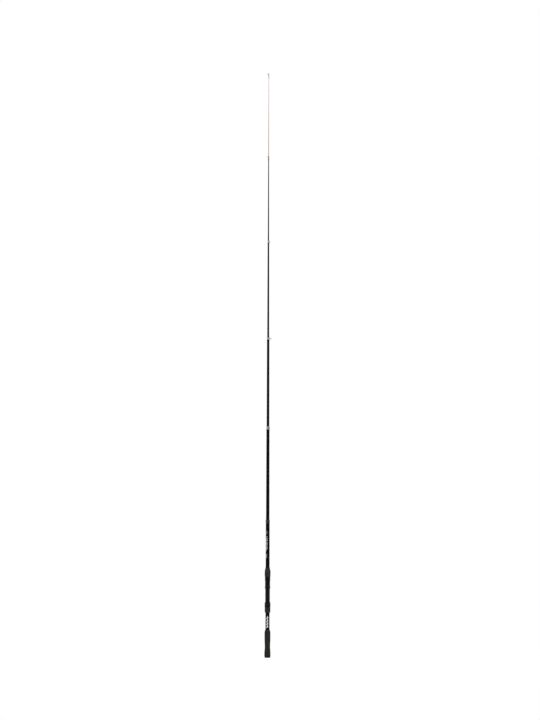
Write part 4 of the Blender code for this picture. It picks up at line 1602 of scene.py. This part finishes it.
    def build(self) -> None:
        """Build the seat's four pieces."""
        self.barrel()
        self.fixed_hood()
        self.sliding_hood()
        self.lock_nut()


# Guides


def on_circle(radius: float, degrees: float, middle: float, height: float) -> Vector:
    """A point round a circle whose middle is in front of the axis."""
    angle = math.radians(degrees)
    return Vector((radius * math.sin(angle), -middle - radius * math.cos(angle), height))


@dataclass(frozen=True, kw_only=True)
class RingFrame:
    """What the guides and the tip-top share: a rim on two bent legs, with a ceramic ring."""

    name: str
    turn: float  # degrees from the front towards +X
    ring_radius: float
    ring_height: float  # middle of the ring above the foot of the frame
    reach: float  # from the rod's axis to the middle of the ring
    rim_wall: float
    rim_height: float
    insert_wall: float
    leg_radius: float
    tilt: float = 0.0
    bite: float = 0.3 * MM  # how far a leg runs into what it is brazed to
    braze: float = 0.15 * MM  # how far a leg's bead of braze stands round it
    leg_turn_on_collar: float = 34.0
    leg_turn_on_ring: float = 105.0
    leg_bend: tuple[float, float, float] = (0.2, 0.4, 0.7)
    leg_points: int = 22
    rim_round: float = 0.42  # of the rim's wall
    insert_lip: float = 0.68  # how far the ceramic stands out, of the rim's height
    insert_crown: float = 0.75  # radius of its rounded bore, of its wall
    insert_shoulder: float = 0.25  # how high its outside is, of its whole height
    bore_steps: int = 16
    shoulder_steps: int = 5
    sides: int = 96

    def standing_at(self, foot: float) -> Matrix:
        """Place of the frame when its foot is at a height."""
        return raised(foot) @ Matrix.Rotation(math.radians(self.turn), 4, "Z")

    def ring_place(self, place: Matrix) -> Matrix:
        """Place of the ring's middle."""
        middle = Matrix.Translation((0, -self.reach, self.ring_height))
        return place @ middle @ Matrix.Rotation(math.radians(self.tilt), 4, "X")

    def add_rim(self, piece: Piece, place: Matrix) -> None:
        """Add the round rim.

        Args:
            piece: The frame.
            place: Where it stands.
        """
        half, inner = self.rim_height / 2, self.ring_radius - self.rim_wall
        turn = self.rim_round * self.rim_wall
        corners = [(inner, half, turn), (self.ring_radius, half, turn)]
        corners += [(self.ring_radius, -half, turn), (inner, -half, turn)]
        piece.turn(softened(corners), self.sides, self.ring_place(place))

    def add_legs(self, piece: Piece, place: Matrix, radius: float, height: float) -> None:
        """Add the two legs and their brazed ends.

        Args:
            piece: The frame.
            place: Where it stands.
            radius: Radius of the tube or collar that the legs run to.
            height: Height of the legs' feet above the foot of the frame.
        """
        grip = self.leg_radius - self.bite
        lean = math.tan(math.radians(self.tilt))
        for side in (1, -1):
            start = on_circle(self.ring_radius + grip, side * self.leg_turn_on_ring, self.reach, 0.0)
            start.z = self.ring_height + (start.y + self.reach) * lean
            end = on_circle(radius + grip, side * self.leg_turn_on_collar, 0.0, height)
            axes = zip(start, end, self.leg_bend, strict=True)
            bend = Vector(first + (last - first) * share for first, last, share in axes)
            path = [
                place @ start.lerp(bend, share).lerp(bend.lerp(end, share), share)
                for share in even_steps(1.0, self.leg_points - 1)
            ]
            piece.wire(path, self.leg_radius)
            for centre in (path[0], path[-1]):
                piece.bead(centre, self.leg_radius + self.braze)

    def build_insert(self, place: Matrix) -> None:
        """Build the ceramic ring, with a bore that is round in section.

        Args:
            place: Where the frame stands.
        """
        outer = self.ring_radius - self.rim_wall - GLUE_GAP
        half = self.insert_lip * self.rim_height
        crown = self.insert_crown * self.insert_wall
        middle = outer - self.insert_wall + crown
        low = 2 * self.insert_shoulder * half
        bore = even_steps(math.pi, self.bore_steps)
        outline = [(middle - crown * math.sin(angle), -half * math.cos(angle)) for angle in bore]
        upper = [
            (middle + (outer - middle) * math.sin(angle), low + (half - low) * math.cos(angle))
            for angle in even_steps(math.pi / 2, self.shoulder_steps)[1:]
        ]
        outline += upper
        outline += [(radius, -height) for radius, height in reversed(upper)]
        piece = Piece(f"{self.name}_ceramic_insert")
        piece.turn(outline, self.sides, self.ring_place(place))
        piece.finish(Look.CERAMIC, self.name, f"{self.name}_ceramic_ring")


@dataclass(frozen=True, kw_only=True)
class LineGuide(RingFrame):
    """A guide on a collar at the end of its section, with a thread wrap below it."""

    tube: Tube
    collar_height: float
    wrap: float
    plate_width: float
    plate_thickness: float = 1.1 * MM
    plate_flare: float = 0.35  # how much wider it is at both ends
    plate_neck: int = 4  # how steeply it widens there
    plate_round: float = 0.7  # of half its thickness
    plate_steps: int = 12
    wrap_thickness: float = 0.45 * MM
    wrap_straight: float = 0.75  # of its length, before it runs out on the tube
    wrap_edge: float = 0.18 * MM
    wrap_steps: int = 10

    @property
    def collar(self) -> Collar:
        """The guide's collar."""
        return Collar(self.tube, self.collar_height)

    def add_plate(self, piece: Piece, place: Matrix) -> None:
        """Add the plate that carries the rim, wider where it is brazed on at both ends.

        Args:
            piece: The frame.
            place: Where it stands.
        """
        half, thick = self.plate_width / 2, self.plate_thickness / 2
        turn = self.plate_round * thick
        corners = [(half, thick, turn), (half, -thick, turn), (-half, -thick, turn), (-half, thick, turn)]
        section = softened(corners)
        rings = []
        for share in even_steps(1.0, self.plate_steps):
            flare = 1 + self.plate_flare * abs(2 * share - 1) ** self.plate_neck
            ring = []
            for across, up in section:
                x = across * flare
                near = -math.sqrt((self.collar.radius - self.bite) ** 2 - x * x)
                far = -self.reach + math.sqrt((self.ring_radius - self.bite) ** 2 - x * x)
                ring.append(place @ Vector((x, near + (far - near) * share, self.ring_height + up)))
            rings.append(ring)
        piece.skin(rings)

    def build_wrap(self, top: float) -> None:
        """Build the thread wrap that lies below the collar.

        Args:
            top: Height of the collar's foot.
        """
        inner = self.tube.top_radius + self.tube.taper * (self.collar_height + self.wrap) + GLUE_GAP
        outer = inner + self.wrap_thickness
        ends = [(outer, -self.wrap_straight * self.wrap), (inner + GLUE_GAP, -self.wrap)]
        run_out = eased(ends, self.wrap_steps)
        corners = [(inner, -SEAT_GAP, 0.0), (outer, -SEAT_GAP, self.wrap_edge)]
        corners += [(radius, height, 0.0) for radius, height in run_out]
        corners.append((inner, -self.wrap, 0.0))
        piece = Piece(f"{self.name}_wound_thread")
        piece.turn(softened(corners), self.sides, raised(top))
        piece.finish(Look.THREAD_WRAP, self.name, f"{self.name}_thread_wrap")

    def build(self) -> None:
        """Build the brazed frame, the ceramic ring and the wrap."""
        foot = self.tube.top - self.collar_height
        place = self.standing_at(foot)
        frame = Piece(f"{self.name}_brazed_frame")
        frame.turn(self.collar.outline(), self.sides, place)
        self.add_plate(frame, place)
        self.add_rim(frame, place)
        feet = self.collar_height - self.collar.bead_height - self.leg_radius
        self.add_legs(frame, place, self.collar.radius, feet)
        frame.finish(Look.BRIGHT_STEEL, self.name, f"{self.name}_frame")
        self.build_insert(place)
        self.build_wrap(foot)


@dataclass(frozen=True, kw_only=True)
class TipTop(RingFrame):
    """The ring at the very end, tilted on its tube."""

    tip: Tube
    name: str = "tip_top"
    turn: float = -33.0
    tilt: float = 18.0
    ring_radius: float = 4.0 * MM
    ring_height: float = 21.4 * MM
    reach: float = 5.4 * MM
    rim_wall: float = 0.55 * MM
    rim_height: float = 1.7 * MM
    insert_wall: float = 0.9 * MM
    leg_radius: float = 0.45 * MM
    tube_radius: float = 1.8 * MM
    tube_length: float = 23.0 * MM
    blind: float = 9.0 * MM
    leg_drop: float = 11.0 * MM
    crown: float = 0.6  # radius of its flat end, of its own radius
    edge: float = 0.4 * MM
    fine_edge: float = 0.15 * MM

    def build(self) -> None:
        """Build the tube with its rim and legs, and the ceramic ring."""
        foot = self.tip.top - self.tube_length + self.blind + SEAT_GAP
        place = self.standing_at(foot)
        bore = self.tip.top_radius + GLUE_GAP
        corners = [
            (0.0, self.tube_length, 0.0),
            (self.crown * self.tube_radius, self.tube_length - self.edge / 2, self.edge),
            (self.tube_radius, self.tube_length - 2 * self.edge, self.edge),
            (self.tube_radius, 0.0, self.fine_edge),
            (bore, 0.0, self.fine_edge),
            (bore, self.tube_length - self.blind, 0.0),
            (0.0, self.tube_length - self.blind, 0.0),
        ]
        frame = Piece("tip_top_brazed_frame")
        frame.turn(softened(corners), self.sides, place, closed=False)
        self.add_rim(frame, place)
        self.add_legs(frame, place, self.tube_radius, self.tube_length - self.leg_drop)
        frame.finish(Look.BRIGHT_STEEL, self.name, "tip_top_frame")
        self.build_insert(place)


# Print


@dataclass(frozen=True)
class BarRow:
    """A row of slanted bars up the rod, of which some may run to other ends than the rest."""

    middle: float  # degrees from the front to where its bars' ends are counted from
    foot: float
    count: int
    pitch: float
    thickness: float
    ends: Pair
    other: int = 1  # the first bar and every so manyth after it have the other ends
    other_ends: Pair | None = None


@dataclass(frozen=True)
class Spot:
    """A printed spot with two pointed or round ends."""

    middle: float
    height: float
    half_width: float
    half_height: float
    power: float  # 1 for a lozenge, 2 for an ellipse


@dataclass(frozen=True)
class PrintedMarks:
    """Plain slanted bars, a dot and a lozenge printed on the butt blank."""

    blank: Tube
    lift: float = 0.04 * MM
    sink: float = 0.02 * MM
    steps: int = 12
    slant: float = 0.42  # rise of a bar for each unit across
    lower_row: BarRow = BarRow(
        middle=-3.0,
        foot=137.7 * MM,
        count=11,
        pitch=4.6 * MM,
        thickness=3.7 * MM,
        ends=(-2.7 * MM, 2.7 * MM),
        other=3,
        other_ends=(-5.8 * MM, 4.2 * MM),
    )
    lower_dot: Spot = Spot(
        middle=-3.0, height=191.0 * MM, half_width=2.2 * MM, half_height=2.0 * MM, power=2.0
    )
    upper_row: BarRow = BarRow(
        middle=-37.0,
        foot=494.0 * MM,
        count=14,
        pitch=4.75 * MM,
        thickness=2.3 * MM,
        ends=(-4.8 * MM, 4.8 * MM),
        other=4,
        other_ends=(-4.8 * MM, 1.0 * MM),
    )
    small_row: BarRow = BarRow(
        middle=-37.0,
        foot=462.0 * MM,
        count=3,
        pitch=6.0 * MM,
        thickness=2.6 * MM,
        ends=(-4.6 * MM, 2.2 * MM),
    )
    emblem: Spot = Spot(
        middle=-37.0, height=579.0 * MM, half_width=4.75 * MM, half_height=10.5 * MM, power=1.0
    )

    def on_blank(self, angle: float, height: float, lift: float) -> Vector:
        """A point over the blank."""
        return around(angle, self.blank.radius_at(height) + lift, height)

    def patch(self, piece: Piece, middle: float, ends: Pair, edges: Contour) -> None:
        """Add a thin patch of ink that lies on the blank.

        Args:
            piece: The print.
            middle: Degrees from the front to where its ends are counted from.
            ends: Where it starts and ends across.
            edges: Its lower and upper height, by the share of the way across.
        """
        start, end = ends
        rings = []
        for share in even_steps(1.0, self.steps):
            low, high = edges(share)
            across = start + (end - start) * share
            angle = math.radians(middle) + across / self.blank.radius_at(low)
            corners = ((low, -self.sink), (low, self.lift), (high, self.lift), (high, -self.sink))
            rings.append([self.on_blank(angle, height, lift) for height, lift in corners])
        piece.skin(rings)

    def add_row(self, piece: Piece, row: BarRow) -> None:
        """Add a row of bars.

        Args:
            piece: The print.
            row: The bars.
        """
        for index in range(row.count):
            ends = row.ends if index % row.other else row.other_ends or row.ends
            foot = row.foot + row.pitch * index
            rise = (ends[1] - ends[0]) * self.slant

            def edges(share: float, foot: float = foot, rise: float = rise) -> Pair:
                """Heights of the bar's two edges."""
                return foot + rise * share, foot + rise * share + row.thickness

            self.patch(piece, row.middle, ends, edges)

    def add_spot(self, piece: Piece, spot: Spot) -> None:
        """Add a spot.

        Args:
            piece: The print.
            spot: The spot.
        """

        def edges(share: float) -> Pair:
            """Find the spot's two edges.

            Args:
                share: The share of the way across.

            Returns:
                Their heights.
            """
            swell = max(1 - abs(2 * share - 1) ** spot.power, 0.0) ** (1 / spot.power)
            half = max(spot.half_height * swell, self.sink)
            return spot.height - half, spot.height + half

        self.patch(piece, spot.middle, (-spot.half_width, spot.half_width), edges)

    def build(self) -> None:
        """Build the print between the grips and the one above the handle."""
        lower = Piece("lower_blank_print")
        self.add_row(lower, self.lower_row)
        self.add_spot(lower, self.lower_dot)
        lower.finish(Look.WHITE_INK, "handle")
        upper = Piece("upper_blank_print")
        self.add_row(upper, self.upper_row)
        self.add_row(upper, self.small_row)
        upper.finish(Look.WHITE_INK, "handle")
        emblem = Piece("upper_blank_lozenge")
        self.add_spot(emblem, self.emblem)
        emblem.finish(Look.GREY_INK, "handle")


# Studio

WHITE = (1.0, 1.0, 1.0, 1.0)


@dataclass(frozen=True)
class Lamp:
    """A soft lamp. Its glow is the light of its face, where 1 is white."""

    name: str
    place: tuple[float, float, float]
    width: float
    height: float
    glow: float

    def hang(self) -> None:
        """Hang the lamp upright and turn it to the rod."""
        data = bpy.data.lights.new(self.name, "AREA")
        data.shape = "RECTANGLE"
        data.size = self.width
        data.size_y = self.height
        data.energy = self.glow * math.pi * self.width * self.height
        made = bpy.data.objects.new(self.name, data)
        bpy.context.scene.collection.objects.link(made)
        made.location = self.place
        to_rod = Vector((-made.location.x, -made.location.y, 0.0))
        made.rotation_euler = to_rod.to_track_quat("-Z", "Z").to_euler()


@dataclass(frozen=True)
class Studio:
    """Camera, pale floor, white surroundings and soft lamps."""

    lens: float = 400.0  # mm, as the sensor
    sensor: float = 36.0
    frame_height: int = 720
    pixel: float = 4.622 * MM  # what one pixel of the picture covers at the rod
    aside: float = 8.6 * MM
    eye_height: float = 1.3764
    roll: float = 0.143  # degrees
    far: float = 200.0
    floor_height: float = -11.5 * MM  # clear of the butt cap when it is screwed out
    floor_radius: float = 1.8
    floor_sides: int = 128
    floor_colour: Colour = (238, 238, 236)
    floor_drift: float = 0.015  # of its colour's light
    floor_cloud: float = 0.4
    floor_glow: float = 0.5
    front_light: float = 0.85
    back_light: float = 0.3
    light_turn: Pair = (-0.7, 0.7)  # along Y, of which the front is -1
    front_mirrored: float = 0.2
    mirrored_turn: Pair = (-0.2, 0.35)
    lamps: tuple[Lamp, ...] = (
        Lamp("left_softbox", place=(-1.9, -2.6, 1.65), width=0.9, height=3.2, glow=1.2),
        Lamp("right_fill", place=(2.4, -2.2, 1.65), width=2.0, height=3.2, glow=0.35),
    )

    def hang_camera(self) -> None:
        """Put the camera far off at eye height, level and rolled as the picture is."""
        data = bpy.data.cameras.new("camera")
        data.lens = self.lens
        data.sensor_width = self.sensor
        data.clip_end = self.far
        camera = bpy.data.objects.new("camera", data)
        bpy.context.scene.collection.objects.link(camera)
        distance = self.pixel * self.frame_height * self.lens / self.sensor
        roll = math.radians(self.roll)
        right = Vector((math.cos(roll), 0.0, math.sin(roll)))
        up = Vector((-math.sin(roll), 0.0, math.cos(roll)))
        back = right.cross(up)
        turned = Matrix((right, up, back)).transposed().to_4x4()
        camera.matrix_world = Matrix.Translation((self.aside, -distance, self.eye_height)) @ turned
        bpy.context.scene.camera = camera

    def lay_floor(self) -> None:
        """Lay a pale floor that keeps the rod's shadow and hides nothing from below."""
        work = bmesh.new()
        bmesh.ops.create_circle(work, cap_ends=True, segments=self.floor_sides, radius=self.floor_radius)
        mesh = bpy.data.meshes.new("floor")
        work.to_mesh(mesh)
        work.free()
        material = bpy.data.materials.new("pale_floor")
        material.use_nodes = True
        material.node_tree.nodes.clear()
        wiring = Wiring(material.node_tree)
        low, high = 1 - self.floor_drift, 1 + self.floor_drift
        cloud = wiring.cloud(self.floor_cloud)
        tone = wiring.mix(cloud, paint(self.floor_colour, low), paint(self.floor_colour, high))
        matt = wiring.node("ShaderNodeBsdfDiffuse", {"Color": tone}).outputs[0]
        path = wiring.node("ShaderNodeLightPath").outputs
        seen = wiring.math("MAXIMUM", path["Is Glossy Ray"], path["Is Transmission Ray"])
        seen = wiring.math("MAXIMUM", path["Is Camera Ray"], seen)
        strength = wiring.math("MULTIPLY", seen, self.floor_glow)
        glow = wiring.node("ShaderNodeEmission", {"Strength": strength}).outputs[0]
        upper = wiring.node("ShaderNodeAddShader", {0: matt, 1: glow}).outputs[0]
        under = wiring.node("ShaderNodeBsdfTransparent").outputs[0]
        turned = wiring.node("ShaderNodeNewGeometry").outputs["Backfacing"]
        one_sided = wiring.node("ShaderNodeMixShader", {0: turned, 1: upper, 2: under}).outputs[0]
        wiring.node("ShaderNodeOutputMaterial", {"Surface": one_sided})
        mesh.materials.append(material)
        floor = bpy.data.objects.new("floor", mesh)
        floor.location.z = self.floor_height
        bpy.context.scene.collection.objects.link(floor)

    def surround(self) -> None:
        """White surroundings for the camera and behind the rod, and softer light from the front."""
        world = bpy.data.worlds.new("white_studio")
        bpy.context.scene.world = world
        world.use_nodes = True
        world.node_tree.nodes.clear()
        wiring = Wiring(world.node_tree)
        direction = wiring.node("ShaderNodeTexCoord").outputs["Generated"]
        behind = wiring.node("ShaderNodeSeparateXYZ", {0: direction}).outputs["Y"]
        path = wiring.node("ShaderNodeLightPath").outputs
        light = wiring.remap(behind, *self.light_turn, self.front_light, self.back_light)
        mirrored = wiring.remap(behind, *self.mirrored_turn, self.front_mirrored, 1.0)
        seen = wiring.math("MAXIMUM", path["Is Camera Ray"], path["Is Transmission Ray"])
        strength = wiring.remap(path["Is Glossy Ray"], 0.0, 1.0, light, mirrored)
        strength = wiring.math("MAXIMUM", strength, seen)
        inputs = {"Color": WHITE, "Strength": strength}
        background = wiring.node("ShaderNodeBackground", inputs).outputs[0]
        wiring.node("ShaderNodeOutputWorld", {"Surface": background})

    def build(self) -> None:
        """Set up the whole studio."""
        bpy.context.scene.view_settings.view_transform = "Standard"
        self.surround()
        self.lay_floor()
        for lamp in self.lamps:
            lamp.hang()
        self.hang_camera()


# The rod

TUBE_LENGTHS = ("sight", "low_radius", "top_radius", "hidden", "foot_wall", "flare")
GUIDE_LENGTHS = ("collar_height", "wrap", "ring_radius", "ring_height", "reach")
GUIDE_LENGTHS += ("rim_wall", "rim_height", "insert_wall", "leg_radius", "plate_width")


def in_mm(names: Sequence[str], lengths: Sequence[float]) -> dict[str, float]:
    """Lengths in metres by name, from a row of millimetres."""
    return {name: length * MM for name, length in zip(names, lengths, strict=True)}


def tubes() -> list[Tube]:
    """Size the six sections.

    Returns:
        The sections from the butt up.
    """
    black = Look.BLACK_LACQUER
    sizes = (  # node, body and finish, then the tube's lengths in mm
        ("section_6_solid_tip", "section_6", Look.ORANGE_LACQUER, 371.3, 1.5, 0.75, 40.0, 0.0, 0.1),
        ("section_5_blank", "section_5", black, 389.0, 2.95, 2.0, 50.0, 0.7, 0.1),
        ("section_4_blank", "section_4", black, 448.0, 4.5, 3.5, 55.0, 0.8, 0.1),
        ("section_3_blank", "section_3", black, 412.5, 6.3, 5.6, 60.0, 0.9, 0.1),
        ("section_2_blank", "section_2", black, 431.5, 7.95, 7.15, 70.0, 0.9, 0.1),
        ("section_1_butt_blank", "handle", black, 630.0, 9.75, 8.95, 0.0, 1.3, 0.0),
    )
    row: list[Tube] = []
    for node, body, look, *lengths in sizes:
        above = row[0] if row else None
        row.insert(0, Tube(node, body, look=look, above=above, **in_mm(TUBE_LENGTHS, lengths)))
    return row


def guides(row: Sequence[Tube]) -> list[LineGuide]:
    """Size the four guides and set them on their sections.

    Args:
        row: The sections from the butt up.

    Returns:
        The guides from the second section up.
    """
    sizes = (  # turn in degrees, then the guide's lengths in mm
        (6.0, 13.5, 8.0, 8.0, 4.6, 19.0, 0.8, 2.4, 1.5, 0.75, 6.0),
        (46.0, 12.0, 7.0, 6.5, 4.0, 14.5, 0.7, 2.1, 1.2, 0.65, 5.0),
        (24.0, 12.0, 6.0, 5.1, 3.1, 10.8, 0.6, 1.9, 1.0, 0.55, 4.0),
        (-31.0, 13.0, 5.0, 4.1, 7.6, 8.1, 0.55, 1.7, 0.85, 0.5, 3.2),
    )
    return [
        LineGuide(name=f"guide_{number}", tube=tube, turn=turn, **in_mm(GUIDE_LENGTHS, lengths))
        for number, (tube, (turn, *lengths)) in enumerate(zip(row[1:-1], sizes, strict=True), 2)
    ]


def main() -> None:
    """Dress the rod from the butt up and set it in the studio."""
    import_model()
    row = tubes()
    butt = row[0]
    ButtEnd().build()
    Grips(butt).build()
    ReelSeat(butt).build()
    for tube in row:
        tube.build()
    Collar(butt, height=16.0 * MM).build()
    for guide in guides(row):
        guide.build()
    TipTop(tip=row[-1]).build()
    PrintedMarks(butt).build()
    Studio().build()


if __name__ == "__main__":
    logging.basicConfig(level=logging.INFO, format="%(message)s")
    main()
